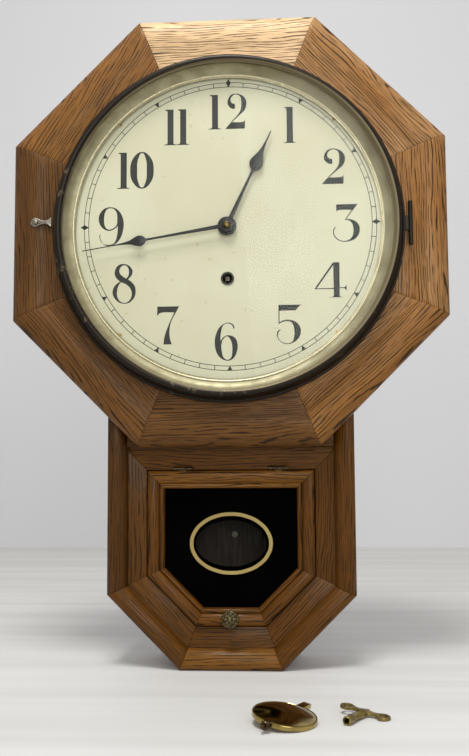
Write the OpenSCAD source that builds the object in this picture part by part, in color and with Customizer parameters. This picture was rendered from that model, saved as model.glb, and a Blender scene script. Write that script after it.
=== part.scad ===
// Short-drop octagon wall clock with a time-only eight-day spring movement.
// X is to the viewer's right, Y towards the wall and Z up. The origin is the middle of the
// underside. The pendulum bob and the winding key lie in front of the case.

/* [Case] */
// Width of the lower case
trunk_w = 247; // [243:1:251]
// Width of the box behind the octagon, across its flats
box_w = 350; // [344:1:356]
// Height of the dial's centre above the foot of the case
dial_z = 435.5; // [431:0.5:441]
// Depth of the lower case's boards, with the backboard
trunk_d = 62; // [58:1:66]
// Thickness of the case boards
board_t = 10; // [8:1:12]
// Thickness of the backboard
back_t = 8; // [7:1:10]

/* [Octagon] */
// Width of the oak that shows between the bezel and the octagon's edge
border_w = 42.7; // [40:0.1:46]
// Thickness of the octagon where it is flat
octagon_t = 18.5; // [17:0.5:21]
// Height of the moulded crest above the flat
crest_h = 2.5; // [1:0.5:4]
// Distance of the crest in from the octagon's edge
crest_in = 21.5; // [16:0.5:26]
// Width of the flat between the crest's slope and the bezel
flat_w = 4; // [3:0.5:8]
// Height of the octagon's upright edge
edge_h = 8.5; // [6:0.5:12]
// Radius of the round opening behind the dial
opening_r = 145; // [142:1:147]

/* [Lower front] */
// Thickness of the flat front frame
face_t = 9; // [8:1:11]
// Width of the raised moulding round the lower case
moulding_w = 20.5; // [17:0.5:22]
// Height of the raised moulding
moulding_t = 10.2; // [8:0.2:12]
// Width of the door
door_w = 167; // [160:1:172]
// Height of the door's lower edge above the foot
door_z = 42; // [40:1:45]
// Height of the frame that shows between the door and the octagon
head_h = 23.5; // [20:0.5:27]
// Thickness of the door
door_t = 14; // [13:0.5:16]
// Width of the door's rails
rail_w = 17.5; // [16:0.5:20]
// Thickness of the glass in the door
tablet_t = 2; // [1.5:0.5:3]
// Width of the rebate that holds the glass
rebate_w = 5; // [4:0.5:7]
// Radius of the knob
knob_r = 8.75; // [7:0.25:10]

/* [Dial and bezel] */
// Radius of the dial plate
dial_r = 152.4; // [151:0.2:154]
// Thickness of the dial plate
dial_t = 0.6; // [0.4:0.1:1.2]
// Distance of the bezel's edge outside the dial plate
bezel_over = 22.4; // [20:0.1:24]
// Width of the bezel's dark rim
rim_w = 11; // [10:0.5:13]
// Height of the bezel's rim
rim_h = 18.7; // [18:0.1:21]
// Width of the hollow ring inside the rim
sight_w = 12.2; // [10:0.1:13]
// Thickness of the sheet brass that the bezel is spun from
sheet_t = 0.8; // [0.6:0.1:1.2]
// Thickness of the dial glass
glass_t = 2; // [1.5:0.5:3]

/* [Hands] */
// Angle of the minute hand, clockwise from twelve
minute_hand_a = 260; // [0:1:359]
// Angle of the hour hand, clockwise from twelve
hour_hand_a = 24; // [0:1:359]
// Length of the minute hand
minute_hand_l = 143; // [130:1:146]
// Length of the hour hand
hour_hand_l = 100; // [92:1:106]
// Thickness of the hands
hand_t = 0.9; // [0.6:0.1:1.2]

/* [Movement] */
// Distance of the winding arbor below the dial's centre
winding_drop = 52; // [50:1:54]
// Distance of the back plate from the wall
plate_d = 26; // [25:1:28]
// Room between the two plates
plate_gap = 38; // [36:1:40]
// Thickness of each plate
plate_t = 2; // [1.5:0.25:2.5]
// Side of the winding square
square_w = 4; // [3.6:0.1:4.2]
// Length of the pendulum rod below its suspension
pendulum_l = 340; // [320:5:345]

/* [Pendulum bob and key] */
// Radius of the pendulum bob
bob_r = 26; // [22:1:30]
// Length of the key's barrel
key_l = 27; // [24:1:32]

/* [Hidden] */
$fn = 96;
OCTAGON = ["octagon_bottom", "octagon_lower_right", "octagon_right", "octagon_upper_right",
  "octagon_top", "octagon_upper_left", "octagon_left", "octagon_lower_left"];

// Clearances: between sticks glued end to end, between flat faces of pieces that move,
// round the door, and of a shaft in its hole
glue_gap = 0.1;
run_gap = 0.3;
door_gap = 0.8;
fit_gap = 0.05;

// Depths are measured forwards from the wall
face_d = trunk_d + face_t;
octagon_back_d = face_d + moulding_t + run_gap;
octagon_d = octagon_back_d + octagon_t;
dial_d = octagon_d + dial_t;
bezel_r = dial_r + bezel_over;
octagon_w = 2 * (bezel_r + border_w);
octagon_foot = dial_z - octagon_w / 2;
door_h = octagon_foot - head_h - door_z;
door_d = trunk_d + door_t;
foot_d = face_d + moulding_t;
inner_d = plate_d + plate_t;
front_plate_d = inner_d + plate_gap;
plates_out_d = front_plate_d + plate_t;

// A drawing of the front turned into place: its x, its height, and its depth from the wall
module from_wall(d = 0) translate([0, foot_d / 2 - d, 0]) rotate([90, 0, 0]) children();
module at_dial(d = 0) from_wall(d) translate([0, dial_z, 0]) children();
module rod(at, r, d0, d1) from_wall(d0) translate(at) cylinder(r = r, h = d1 - d0);
module dial_rod(at, r, d0, d1) at_dial(d0) translate(at) cylinder(r = r, h = d1 - d0);

// Outlines run anticlockwise, and inset moves every side in by the same distance
half_turn = 22.5;
function unit(a, b) = (b - a) / norm(b - a);
function inward(a, b) = let (u = unit(a, b)) [-u[1], u[0]];
function inset(pts, t) = let (n = len(pts)) [for (i = [0:n - 1])
  let (p = pts[i], m = inward(pts[(i + n - 1) % n], p), k = inward(p, pts[(i + 1) % n]))
  p + t * (m + k) / (1 + m * k)];
function arc(c, rx, ry, a0, a1, n = 8) =
  [for (i = [0:n]) let (a = a0 + (a1 - a0) * i / n) [c[0] + rx * cos(a), c[1] + ry * sin(a)]];
function fall(x, w, d0, d1, n = 6) =
  [for (i = [1:n]) [x + w * i / n, d1 + (d0 - d1) * (1 + cos(180 * i / n)) / 2]];
function octagon(w, z) = [for (i = [0:7]) let (a = 45 * i - 90 - half_turn)
  [cos(a), sin(a)] * w / 2 / cos(half_turn) + [0, z]];
function lower_octagon(w, z0, z1) = let (h = w / 2, k = h * tan(half_turn))
  [[-k, z0], [k, z0], [h, z0 + h - k], [h, z1], [-h, z1], [-h, z0 + h - k]];
function reversed(v) = [for (i = [len(v) - 1:-1:0]) v[i]];
function stick(a, b, c, d) = let (u = unit(a, b) * glue_gap / 2) [a + u, b - u, c - u, d + u];

// One stick of a frame, mitred at both ends, flat or with a profile of [distance in, depth]
module mitred(outline, t, i) {
  inner = inset(outline, t);
  j = (i + 1) % len(outline);
  polygon(stick(outline[i], outline[j], inner[j], inner[i]));
}
module moulded(outline, profile, t, i) {
  over = 2;
  a = outline[i];
  b = outline[(i + 1) % len(outline)];
  intersection() {
    from_wall() linear_extrude(octagon_w) mitred(inset(outline, -over), t + 2 * over, i);
    from_wall() translate(a) rotate(atan2(b[1] - a[1], b[0] - a[0])) translate([-t, 0, 0])
      rotate([90, 0, 90]) linear_extrude(norm(b - a) + 2 * t) polygon(profile);
  }
}

// Case boards and backboard
corner = trunk_w / 2 * tan(half_turn);
box_corner = box_w / 2 * tan(half_turn);
shoulder_z = dial_z - box_corner - (box_w - trunk_w) / 2;
case_outline = [[-corner, 0], [corner, 0], [trunk_w / 2, trunk_w / 2 - corner],
  [trunk_w / 2, shoulder_z], [box_w / 2, dial_z - box_corner], [box_w / 2, dial_z + box_corner],
  [box_corner, dial_z + box_w / 2], [-box_corner, dial_z + box_w / 2],
  [-box_w / 2, dial_z + box_corner], [-box_w / 2, dial_z - box_corner],
  [-trunk_w / 2, shoulder_z], [-trunk_w / 2, trunk_w / 2 - corner]];

screw_r = 1.6;
head_r = 3;
head_t = 1.7;
hanger_up = 132;
hanger_size = [30, 64];
hanger_t = 2;
hanger_r = 5;
hanger_screws = [for (s = [-1, 1]) [0, hanger_up + s * (hanger_size[1] / 2 - 6)]];
pocket_d = 5;
pocket_size = [22, 34];
wall_screw_z = 126;
feet = [[-36, 34], [36, 34], [-36, -30], [36, -30]];

module case_board(i, front_d, tone)
  color(tone) from_wall(back_t) linear_extrude(front_d - back_t) mitred(case_outline, board_t, i);

module backboard() color("sienna") difference() {
  from_wall() linear_extrude(back_t) polygon(case_outline);
  at_dial(-1) translate([-hanger_size[0] / 2, hanger_up - hanger_size[1] / 2, 0])
    cube([hanger_size[0], hanger_size[1], hanger_t + 1]);
  at_dial() translate([-pocket_size[0] / 2, hanger_up - pocket_size[1] / 2, 0])
    cube([pocket_size[0], pocket_size[1], pocket_d]);
  rod([0, wall_screw_z], screw_r, -1, back_t + 1);
  for (p = hanger_screws) dial_rod(p, screw_r, 0, back_t - 1);
  for (f = feet) dial_rod(f, screw_r, 1, back_t + 1);
}

module hanger_plate() color("slategray") difference() {
  at_dial() translate([-hanger_size[0] / 2, hanger_up - hanger_size[1] / 2, 0])
    cube([hanger_size[0], hanger_size[1], hanger_t]);
  dial_rod([0, hanger_up], hanger_r, -1, hanger_t + 1);
  for (p = hanger_screws) dial_rod(p, screw_r, -1, hanger_t + 1);
}

module case_screws() color("silver") {
  for (p = hanger_screws) dial_rod(p, screw_r, 0, back_t - 1);
  rod([0, wall_screw_z], screw_r, 0, back_t);
  rod([0, wall_screw_z], head_r, back_t, back_t + head_t);
  for (f = feet) {
    dial_rod(f, screw_r, 1, inner_d);
    dial_rod(f, head_r, inner_d, inner_d + head_t);
  }
}

// Eight mitred sticks of oak with a raised crest, round the dial's opening
octagon_outline = octagon(octagon_w, dial_z);
octagon_in = octagon_w / 2 - opening_r * cos(half_turn) + 1;
slope_w = border_w - crest_in - flat_w;
octagon_profile = concat([[0, octagon_back_d]],
  arc([crest_in, octagon_back_d + edge_h], crest_in, octagon_t + crest_h - edge_h, 180, 90),
  fall(crest_in, slope_w, octagon_d + crest_h, octagon_d),
  [[octagon_in, octagon_d], [octagon_in, octagon_back_d]]);

module octagon_stick(i) color("peru") difference() {
  moulded(octagon_outline, octagon_profile, octagon_in, i);
  dial_rod([0, 0], opening_r, octagon_back_d - 1, octagon_d + 1);
  for (p = dial_screw_places) dial_rod(p, pin_r, octagon_d - pin_l, octagon_d + 1);
  dial_rod(latch_at, screw_r, octagon_d - pin_l, octagon_d + crest_h + 1);
  bezel_leaf();
}

// Flat front frame, raised moulding, and the strip that closes the gap under the octagon
stile_top = shoulder_z - 3;
tongue = 15;
rail_top = octagon_foot + tongue;
door_outline = lower_octagon(door_w, door_z, door_z + door_h);
trunk_outline = lower_octagon(trunk_w, 0, stile_top);
moulding_crest = 8;
moulding_edge = 3;
moulding_lip = 1.5;
moulding_profile = concat([[0, face_d]],
  arc([moulding_crest, face_d + moulding_edge], moulding_crest, moulding_t - moulding_edge, 180, 90),
  fall(moulding_crest, moulding_w - moulding_crest, face_d + moulding_t, face_d + moulding_lip),
  [[moulding_w, face_d]]);

module front_frame() color("peru") difference() {
  hole = inset(door_outline, -door_gap);
  union() {
    for (i = [0, 1, 5]) let (j = (i + 1) % 6) from_wall(trunk_d) linear_extrude(face_t)
      polygon(stick(trunk_outline[i], trunk_outline[j], hole[j], hole[i]));
    for (s = [0, 1]) from_wall(trunk_d) mirror([s, 0, 0]) linear_extrude(face_t)
      polygon(stick(trunk_outline[2], trunk_outline[3], [hole[3][0], stile_top], hole[2]));
    from_wall(trunk_d) linear_extrude(face_t)
      polygon(stick(hole[4], hole[3], [hole[3][0], rail_top], [hole[4][0], rail_top]));
  }
  for (s = [-1, 1]) door_leaf(s, door_gap);
}

module trunk_moulding() color("peru")
  for (i = [0, 1, 2, 4, 5]) moulded(trunk_outline, moulding_profile, moulding_w, i);

module spacer_strip() color("sienna") from_wall(face_d)
  translate([moulding_w + run_gap - trunk_w / 2, octagon_foot + run_gap, 0])
    cube([trunk_w - 2 * moulding_w - 2 * run_gap, tongue - 2 * run_gap, octagon_back_d - face_d]);

// Door: six mitred rails round a sheet of glass, which strips hold from behind
strip_t = 4;
glass_gap = 0.3;
edge_r = 3.5;
sight_edge = 5;
tablet_d = trunk_d + strip_t;
door_profile = concat([[0, trunk_d]],
  arc([edge_r, door_d - edge_r], edge_r, edge_r, 180, 90),
  arc([rail_w - sight_edge, door_d - sight_edge], sight_edge, sight_edge, 90, 0),
  [[rail_w, tablet_d + tablet_t], [rail_w - rebate_w, tablet_d + tablet_t],
   [rail_w - rebate_w, trunk_d]]);
knob_at = [0, door_z + rail_w / 2];
knob_shaft_r = 2;

module door_frame() color("peru") difference() {
  for (i = [0:5]) moulded(door_outline, door_profile, rail_w, i);
  rod(knob_at, knob_shaft_r + fit_gap, trunk_d - 1, door_d + 1);
  for (s = [-1, 1]) {
    door_leaf(s, -leaf_t);
    hinge_arm(s);
  }
}

module tablet_glass() color("black") from_wall(tablet_d) linear_extrude(tablet_t)
  polygon(inset(door_outline, rail_w - rebate_w + glass_gap));

module glazing_strips() color("sienna") {
  edge = inset(door_outline, rail_w - rebate_w + glass_gap);
  for (i = [0:5]) from_wall(trunk_d) linear_extrude(strip_t) mitred(edge, rebate_w - glass_gap, i);
}

// Two butt hinges at the door's top edge; up is the leaf's height above that edge
hinge_x = 48;
hinge_l = 20;
hinge_r = 1.75;
hinge_pin_r = 0.8;
leaf_t = 1.2;
leaf_in = 7;
knuckle = 6.4;
door_top = door_z + door_h;
hinge_d = face_d + hinge_r + run_gap;
hinge_z = door_top + door_gap + leaf_t + 0.2;

module door_leaf(s, up) from_wall(face_d - leaf_in)
  translate([s * hinge_x - hinge_l / 2, door_top + up, 0]) cube([hinge_l, leaf_t, leaf_in]);
module hinge_arm(s) from_wall(face_d - 0.1)
  translate([s * hinge_x - knuckle / 2, door_top - leaf_t, 0])
    cube([knuckle, leaf_t, hinge_d - face_d + leaf_t / 2 + 0.1]);
module along_hinge(x0, x1, r) translate([x0, foot_d / 2 - hinge_d, hinge_z]) rotate([0, 90, 0])
  cylinder(r = r, h = x1 - x0);

module door_hinge_fixed() color("dimgray") for (s = [-1, 1]) {
  x = s * hinge_x;
  door_leaf(s, door_gap);
  along_hinge(x - hinge_l / 2, x + hinge_l / 2, hinge_pin_r);
  for (x0 = [x - hinge_l / 2, x + knuckle / 2 + 0.1]) {
    along_hinge(x0, x0 + (hinge_l - knuckle) / 2 - 0.1, hinge_r);
    from_wall(face_d - 0.1) translate([x0, door_top + door_gap, 0])
      cube([(hinge_l - knuckle) / 2 - 0.1, leaf_t, hinge_r + run_gap]);
  }
}

module door_hinge_moving() color("dimgray") for (s = [-1, 1]) {
  x = s * hinge_x;
  difference() {
    union() {
      door_leaf(s, -leaf_t);
      along_hinge(x - knuckle / 2, x + knuckle / 2, hinge_r);
      hinge_arm(s);
      from_wall(hinge_d - leaf_t / 2) translate([x - knuckle / 2, door_top - leaf_t, 0])
        cube([knuckle, hinge_z - door_top + leaf_t, leaf_t]);
    }
    along_hinge(x - hinge_l, x + hinge_l, hinge_pin_r + fit_gap);
  }
}

// A cast knob turns a button behind the door
button_t = 2.1;
button_d = trunk_d - run_gap - button_t;
knob_profile = concat([[0, 0], [5, 0], [5, 1.5], [3.4, 3], [3.4, 7]],
  arc([knob_r - 3, 10], 3, 3, -90, 90, 6), [[3.5, 13.6], [0, 14]]);

module door_knob() color("darkgoldenrod") {
  rod(knob_at, knob_shaft_r, button_d - 0.6, door_d + 1);
  from_wall(door_d + run_gap) translate(knob_at) rotate_extrude() polygon(knob_profile);
}

module turn_button() color("dimgray") from_wall(button_d) translate(knob_at)
  linear_extrude(button_t) difference() {
    union() {
      circle(r = 4);
      translate([0, -2.5]) square([15, 5]);
    }
    circle(r = knob_shaft_r);
  }

// Dial plate on the octagon, with a brass-lined winding hole
pin_r = 0.9;
pin_l = 8;
lining_t = 0.8;
key_hole_r = 5;
dial_screw_places = [for (a = [45:90:315]) (dial_r - 1.6) * [cos(a), sin(a)]];
winding_at = [0, -winding_drop];

module dial_plate() color("ivory") difference() {
  dial_rod([0, 0], dial_r, octagon_d, dial_d);
  dial_rod([0, 0], hour_pipe_r + 0.6, octagon_d - 1, dial_d + 1);
  dial_rod(winding_at, key_hole_r + lining_t, octagon_d - 1, dial_d + 1);
  for (p = dial_screw_places) dial_rod(p, pin_r, octagon_d - 1, dial_d + 1);
}

module dial_screws() color("goldenrod") for (p = dial_screw_places) {
  dial_rod(p, pin_r, octagon_d - pin_l, dial_d);
  dial_rod(p, pin_r + 0.6, dial_d, dial_d + 0.8);
}

module winding_grommet() color("goldenrod") difference() {
  union() {
    dial_rod(winding_at, key_hole_r + lining_t, octagon_d, dial_d);
    dial_rod(winding_at, key_hole_r + 2 * lining_t, dial_d, dial_d + lining_t);
  }
  dial_rod(winding_at, key_hole_r, octagon_d - 1, dial_d + 2);
}

// Bezel: a dark rim spun from sheet, a flat glass behind its lip, and a cove that holds the glass
rim_d = octagon_d + run_gap;
rim_in = bezel_r - rim_w;
lip_w = 1.3;
lip_t = 1.1;
glass_d = rim_d + rim_h - 4.3 - glass_t;
seat_d = glass_d + glass_t;
flange_h = 5.5;
bead = [bezel_r - 6.8, rim_d + rim_h - 7];
bead_size = [5.5, 7];
function bead_arc(t) = arc(bead, bead_size[0] - t, bead_size[1] - t, -20, 140, 12);
rim_profile = concat([[bezel_r, rim_d], [bezel_r, rim_d + flange_h]], bead_arc(0),
  [[rim_in - lip_w, seat_d + lip_t], [rim_in - lip_w, seat_d], [rim_in, seat_d], [rim_in, rim_d],
   [rim_in + sheet_t, rim_d], [rim_in + sheet_t, seat_d + sheet_t]], reversed(bead_arc(sheet_t)),
  [[bezel_r - sheet_t, rim_d + flange_h], [bezel_r - sheet_t, rim_d]]);
ring_d = dial_d + 2.3;
ring_in = rim_in - 0.2 - sight_w;
function cove_arc(t) = arc([ring_in, glass_d], sight_w - t, glass_d - ring_d - t, -90, 0, 10);
ring_profile = concat(cove_arc(0), reversed(cove_arc(sheet_t)));

module bezel_rim() color("dimgray") at_dial() rotate_extrude() polygon(rim_profile);
module sight_ring() color("darkkhaki") at_dial() rotate_extrude() polygon(ring_profile);
module dial_glass() color("lightcyan", 0.3)
  dial_rod([0, 0], rim_in - 0.2, glass_d, glass_d + glass_t);

// Bezel hinge: one leaf let edgeways into the octagon, the other meets the rim
bezel_hinge_r = 2.2;
bezel_pin_r = 0.9;
bezel_hinge_l = 43;
bezel_knuckle = 14;
bezel_hinge_at = [bezel_r + 5, octagon_d + bezel_hinge_r + 0.1];

module up_hinge(z0, z1, r) translate([bezel_hinge_at[0], foot_d / 2 - bezel_hinge_at[1], dial_z + z0])
  cylinder(r = r, h = z1 - z0);
module bezel_leaf() at_dial(octagon_d - pin_l)
  translate([bezel_hinge_at[0] - leaf_t / 2, -bezel_hinge_l / 2, 0])
    cube([leaf_t, bezel_hinge_l, pin_l + 0.1]);

module bezel_hinge_fixed() color("dimgray") {
  half = bezel_hinge_l / 2;
  end_l = (bezel_hinge_l - bezel_knuckle) / 2 - 0.1;
  bezel_leaf();
  up_hinge(-half, half, bezel_pin_r);
  for (z = [-half, half - end_l]) {
    up_hinge(z, z + end_l, bezel_hinge_r);
    at_dial(octagon_d - 0.5) translate([bezel_hinge_at[0] - leaf_t / 2, z, 0])
      cube([leaf_t, end_l, 1.5]);
  }
}

module bezel_hinge_moving() color("dimgray") difference() {
  union() {
    up_hinge(-bezel_knuckle / 2, bezel_knuckle / 2, bezel_hinge_r);
    at_dial(bezel_hinge_at[1] - leaf_t / 2) translate([rim_in, -bezel_knuckle / 2, 0])
      cube([bezel_hinge_at[0] - rim_in, bezel_knuckle, leaf_t]);
  }
  up_hinge(-bezel_hinge_l, bezel_hinge_l, bezel_pin_r + fit_gap);
  dial_rod([0, 0], bezel_r, octagon_d - 1, dial_d + rim_h);
}

// Latch: a lever with a splayed tip, on a screw in the octagon
latch_l = 16.4;
latch_t = 1.5;
latch_at = [-bezel_r - 1.6 - latch_l, 7.8];
latch_d = octagon_d + crest_h;
module bezel_latch() color("silver") at_dial(latch_d) translate(latch_at)
  linear_extrude(latch_t) difference() {
    union() {
      circle(r = 4.6);
      polygon([[0, -2.4], [latch_l - 5, -2], [latch_l, -5], [latch_l, 5], [latch_l - 5, 2], [0, 2.4]]);
    }
    circle(r = screw_r + fit_gap);
  }

module latch_screw() color("silver") {
  dial_rod(latch_at, screw_r, octagon_d - pin_l, latch_d + latch_t + fit_gap);
  dial_rod(latch_at, head_r, latch_d + latch_t + fit_gap, latch_d + latch_t + head_t);
}

// Hands: a stem, a pear-shaped swelling and a long point; the pipes turn on the centre arbor
centre_r = 1.5;
cannon_r = 2.6;
hour_pipe_r = 4.4;
hour_hand_d = dial_d + 3.6;
minute_hand_d = hour_hand_d + hand_t + 1.9;
hand_nut_t = 1.8;
hand_nut_r = 4;
hour_hub_r = 8.5;
minute_hub_r = 6.5;

function half_hand(l, pear_at, pear_r, stem, neck) = concat([[stem, 0], [neck, pear_at - pear_r]],
  arc([0, pear_at], pear_r, pear_r, -75, 35),
  [[neck, pear_at + pear_r * 2.6], [0.35, l]]);
function both_sides(half) = concat(half, [for (i = [len(half) - 1:-1:0]) [-half[i][0], half[i][1]]]);
module hand(l, pear_at, pear_r, stem, neck, hub_r, bore_r, a) rotate(-a)
  linear_extrude(hand_t) difference() {
    union() {
      circle(r = hub_r);
      polygon(both_sides(half_hand(l, pear_at, pear_r, stem, neck)));
    }
    circle(r = bore_r);
  }

module hour_hand() color("black") at_dial(hour_hand_d)
  hand(hour_hand_l, 0.68 * hour_hand_l, 6.6, 2.2, 1.3, hour_hub_r, hour_pipe_r, hour_hand_a);
module minute_hand() color("black") at_dial(minute_hand_d)
  hand(minute_hand_l, 0.61 * minute_hand_l, 5.4, 2, 1.1, minute_hub_r, cannon_r, minute_hand_a);
module hand_nut() color("gold") difference() {
  dial_rod([0, 0], hand_nut_r, minute_hand_d + hand_t, minute_hand_d + hand_t + hand_nut_t);
  dial_rod([0, 0], centre_r + fit_gap, minute_hand_d, minute_hand_d + 4);
}

// Toothed wheels: straight-sided teeth, and holes with flats. The phase of a wheel is the angle
// of one tooth, and mesh gives it for a second wheel that meets the first at the angle beta
function teeth(n, m, phase, root_w, tip_w, tip) = [for (i = [0:n - 1])
  for (p = [[-root_w, -1.15], [-tip_w, tip], [tip_w, tip], [root_w, -1.15]])
  let (a = phase + (i + p[0]) * 360 / n, r = (n / 2 + p[1]) * m) [r * cos(a), r * sin(a)]];
function mesh(beta, n1, phase1, n2) = beta + 180 - (180 - (beta - phase1) * n1) / n2;
function angle_of(v) = atan2(v[1], v[0]);
function meet(a, ra, b, rb) = let (l = norm(b - a), x = (ra * ra - rb * rb + l * l) / 2 / l,
  u = unit(a, b)) a + x * u + sqrt(ra * ra - x * x) * [-u[1], u[0]];

module toothed(points, bore_r, t) linear_extrude(t) difference() {
  polygon(points);
  circle(r = (bore_r + 0.02) / cos(15), $fn = 12);
}
module wheel(at, n, m, phase, bore_r, d, t) color("goldenrod") at_dial(d) translate(at)
  toothed(teeth(n, m, phase, 0.3, 0.09, 0.85), bore_r, t);
module pinion(at, n, m, phase, bore_r, d, t) color("silver") at_dial(d) translate(at)
  toothed(teeth(n, m, phase, 0.17, 0.13, 0.55), bore_r, t);

// The train, as [teeth of the wheel, leaves of the pinion that it drives, module]
great_train = [78, 12, 0.8];
second_train = [72, 9, 0.65];
centre_train = [72, 8, 0.6];
third_train = [76, 8, 0.5];
escape_teeth = 35;
escape_r = 15;
function reach(train) = (train[0] + train[1]) * train[2] / 2;
centre_at = [0, 0];
second_at = meet(centre_at, reach(second_train), winding_at, reach(great_train));
third_a = 125.7;
third_at = reach(centre_train) * [cos(third_a), sin(third_a)];
escape_at = [0, third_at[1] + sqrt(pow(reach(third_train), 2) - pow(third_at[0], 2))];
verge_at = escape_at + [0, 18.85];
suspension_at = verge_at + [0, 21];

// Room between the plates: how far each wheel stands in front of the back plate
great_in = 22;
second_in = 30;
centre_in = 16;
third_in = 8;
escape_in = 20;
wheel_t = 1.5;
great_t = 2.5;
pinion_t = 3.5;
arbor_r = 1.25;
pivot_r = 0.8;
end_shake = 0.2;
winding_r = 3;

module arbor(at, front_r = pivot_r) color("silver") {
  dial_rod(at, max(arbor_r, front_r), inner_d + end_shake, front_plate_d - end_shake);
  dial_rod(at, pivot_r, plate_d - 0.3, inner_d + 1);
  dial_rod(at, front_r, front_plate_d - 1, plates_out_d + 0.3);
}
module train_pinion(train, at0, at, wheel_in, bore_r = arbor_r)
  pinion(at, train[1], train[2], mesh(angle_of(at - at0), train[0], 0, train[1]), bore_r,
    inner_d + wheel_in + wheel_t / 2 - pinion_t / 2, pinion_t);
module train_wheel(train, at, wheel_in, bore_r = arbor_r, t = wheel_t)
  wheel(at, train[0], train[2], 0, bore_r, inner_d + wheel_in, t);

rivet_r = 1;
module great_wheel() difference() {
  train_wheel(great_train, winding_at, great_in, winding_r + fit_gap, great_t);
  at_dial(inner_d + great_in - 1) translate(click_at)
    cylinder(r = (rivet_r + fit_gap) / cos(15), h = great_t + 2, $fn = 12);
}
module second_wheel() {
  arbor(second_at);
  train_wheel(second_train, second_at, second_in);
  train_pinion(great_train, winding_at, second_at, great_in);
}
module centre_wheel() {
  arbor(centre_at, centre_r);
  dial_rod(centre_at, centre_r, plates_out_d, minute_hand_d + hand_t + hand_nut_t + 0.6);
  train_wheel(centre_train, centre_at, centre_in, centre_r);
  train_pinion(second_train, second_at, centre_at, second_in, centre_r);
}
module third_wheel() {
  arbor(third_at);
  train_wheel(third_train, third_at, third_in);
  train_pinion(centre_train, centre_at, third_at, centre_in);
}
module escape_wheel() {
  arbor(escape_at);
  train_pinion(third_train, third_at, escape_at, third_in);
  color("goldenrod") at_dial(inner_d + escape_in) translate(escape_at)
    toothed([for (i = [0:escape_teeth - 1]) for (p = [[0, escape_r - 2.4], [0.12, escape_r],
      [0.24, escape_r], [0.6, escape_r - 2.4]]) let (a = (i + p[0]) * 360 / escape_teeth)
      [p[1] * cos(a), p[1] * sin(a)]], arbor_r, wheel_t);
}

// Mainspring round the winding arbor, its outer end hooked at a pillar
pillars = [[-36, -62], [36, -62], [-34, 56], [34, 56]];
pillar_r = 3;
spring_in = 2;
spring_h = 18;
spring_t = 0.8;
spring_r = [6, 28];
spring_turns = 7;
spring_n = 20 * spring_turns;
spring_end = norm(pillars[1] - winding_at) - pillar_r - run_gap;
function spiral(off, last) = [for (i = [0:last]) let (f = i / spring_n,
  a = 360 * spring_turns * (f - 1), r = spring_r[0] + (spring_r[1] - spring_r[0]) * f + off)
  [r * cos(a), r * sin(a)]];

module mainspring() color("slategray") at_dial(inner_d + spring_in) translate(winding_at)
  rotate(angle_of(pillars[1] - winding_at)) linear_extrude(spring_h)
    polygon(concat(spiral(0, spring_n), [[spring_end, 0], [spring_end, -spring_t],
      [spring_r[1] + spring_t, -spring_t]], reversed(spiral(spring_t, spring_n - 1))));

// Winding arbor with its ratchet and square; the click rides on the great wheel
ratchet_in = great_in + great_t + 0.5;
ratchet_t = 2;
ratchet_n = 14;
ratchet_r = 7.5;
click_at = winding_at + 14 * [cos(200), sin(200)];
click_l = 8.3;
click_a = -21;

module winding_arbor() {
  color("silver") {
    dial_rod(winding_at, winding_r + 1.2, inner_d + end_shake, inner_d + great_in - 0.5);
    dial_rod(winding_at, winding_r, plate_d - 0.3, plates_out_d + 0.3);
    at_dial(plates_out_d) translate(winding_at) translate([-square_w / 2, -square_w / 2, 0])
      cube([square_w, square_w, octagon_d - 1.5 - plates_out_d]);
  }
  color("goldenrod") at_dial(inner_d + ratchet_in) translate(winding_at)
    toothed([for (i = [0:ratchet_n - 1]) for (p = [[0, ratchet_r], [0.8, ratchet_r - 1.4],
      [0.95, ratchet_r - 1.4]]) let (a = (i + p[0]) * 360 / ratchet_n)
      [p[1] * cos(a), p[1] * sin(a)]], winding_r, ratchet_t);
}

module click() color("slategray") {
  at_dial(inner_d + ratchet_in) translate(click_at) rotate(click_a) linear_extrude(ratchet_t) {
    circle(r = 2.4);
    polygon([[0, -1.8], [click_l - 1, -1], [click_l, 0], [click_l - 1, 1], [0, 1.8]]);
  }
  dial_rod(click_at, rivet_r, inner_d + great_in - 0.6, inner_d + ratchet_in + 1);
}

// Plates with round windows; the back plate carries the suspension stud
plate_size = [84, 132];
plate_low = -70;
windows = [[-22, -26, 11], [25, 13, 11], [-24, 42, 7], [20, 40, 8], [-26, 4, 8], [23, -52, 7]];
stud_r = 1.7;
stud_l = 9;

module plate_outline() difference() {
  translate([-plate_size[0] / 2, plate_low]) square(plate_size);
  for (w = windows) translate([w[0], w[1]]) circle(r = w[2]);
  for (p = [second_at, third_at, escape_at, verge_at]) translate(p) circle(r = pivot_r + fit_gap);
  translate(winding_at) circle(r = winding_r + fit_gap);
}

module movement_plates() color("goldenrod") {
  at_dial(front_plate_d) linear_extrude(plate_t) difference() {
    plate_outline();
    circle(r = centre_r + fit_gap);
  }
  dial_rod(motion_at, post_r, plates_out_d - 1, hour_wheel_d + 3.3);
  difference() {
    union() {
      at_dial(plate_d) linear_extrude(plate_t) difference() {
        union() {
          plate_outline();
          translate([-8, plate_low + plate_size[1] - 1])
            square([16, suspension_at[1] + 6 - plate_low - plate_size[1]]);
        }
        circle(r = pivot_r + fit_gap);
      }
      dial_rod(suspension_at, stud_r, plate_d - stud_l, plate_d + 1);
    }
    for (f = feet) dial_rod(f, screw_r, plate_d - 1, inner_d + 1);
  }
}

module pillars_and_nuts() color("goldenrod") for (p = pillars) {
  dial_rod(p, pillar_r, inner_d, front_plate_d);
  at_dial(plates_out_d) translate(p) cylinder(r = 3.4, h = 2.2, $fn = 6);
}

module movement_feet() color("goldenrod") for (f = feet) difference() {
  union() {
    dial_rod(f, 3.5, back_t, plate_d);
    dial_rod(f, 6, back_t, back_t + 1.5);
  }
  dial_rod(f, screw_r, back_t - 1, plate_d + 1);
}

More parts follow.
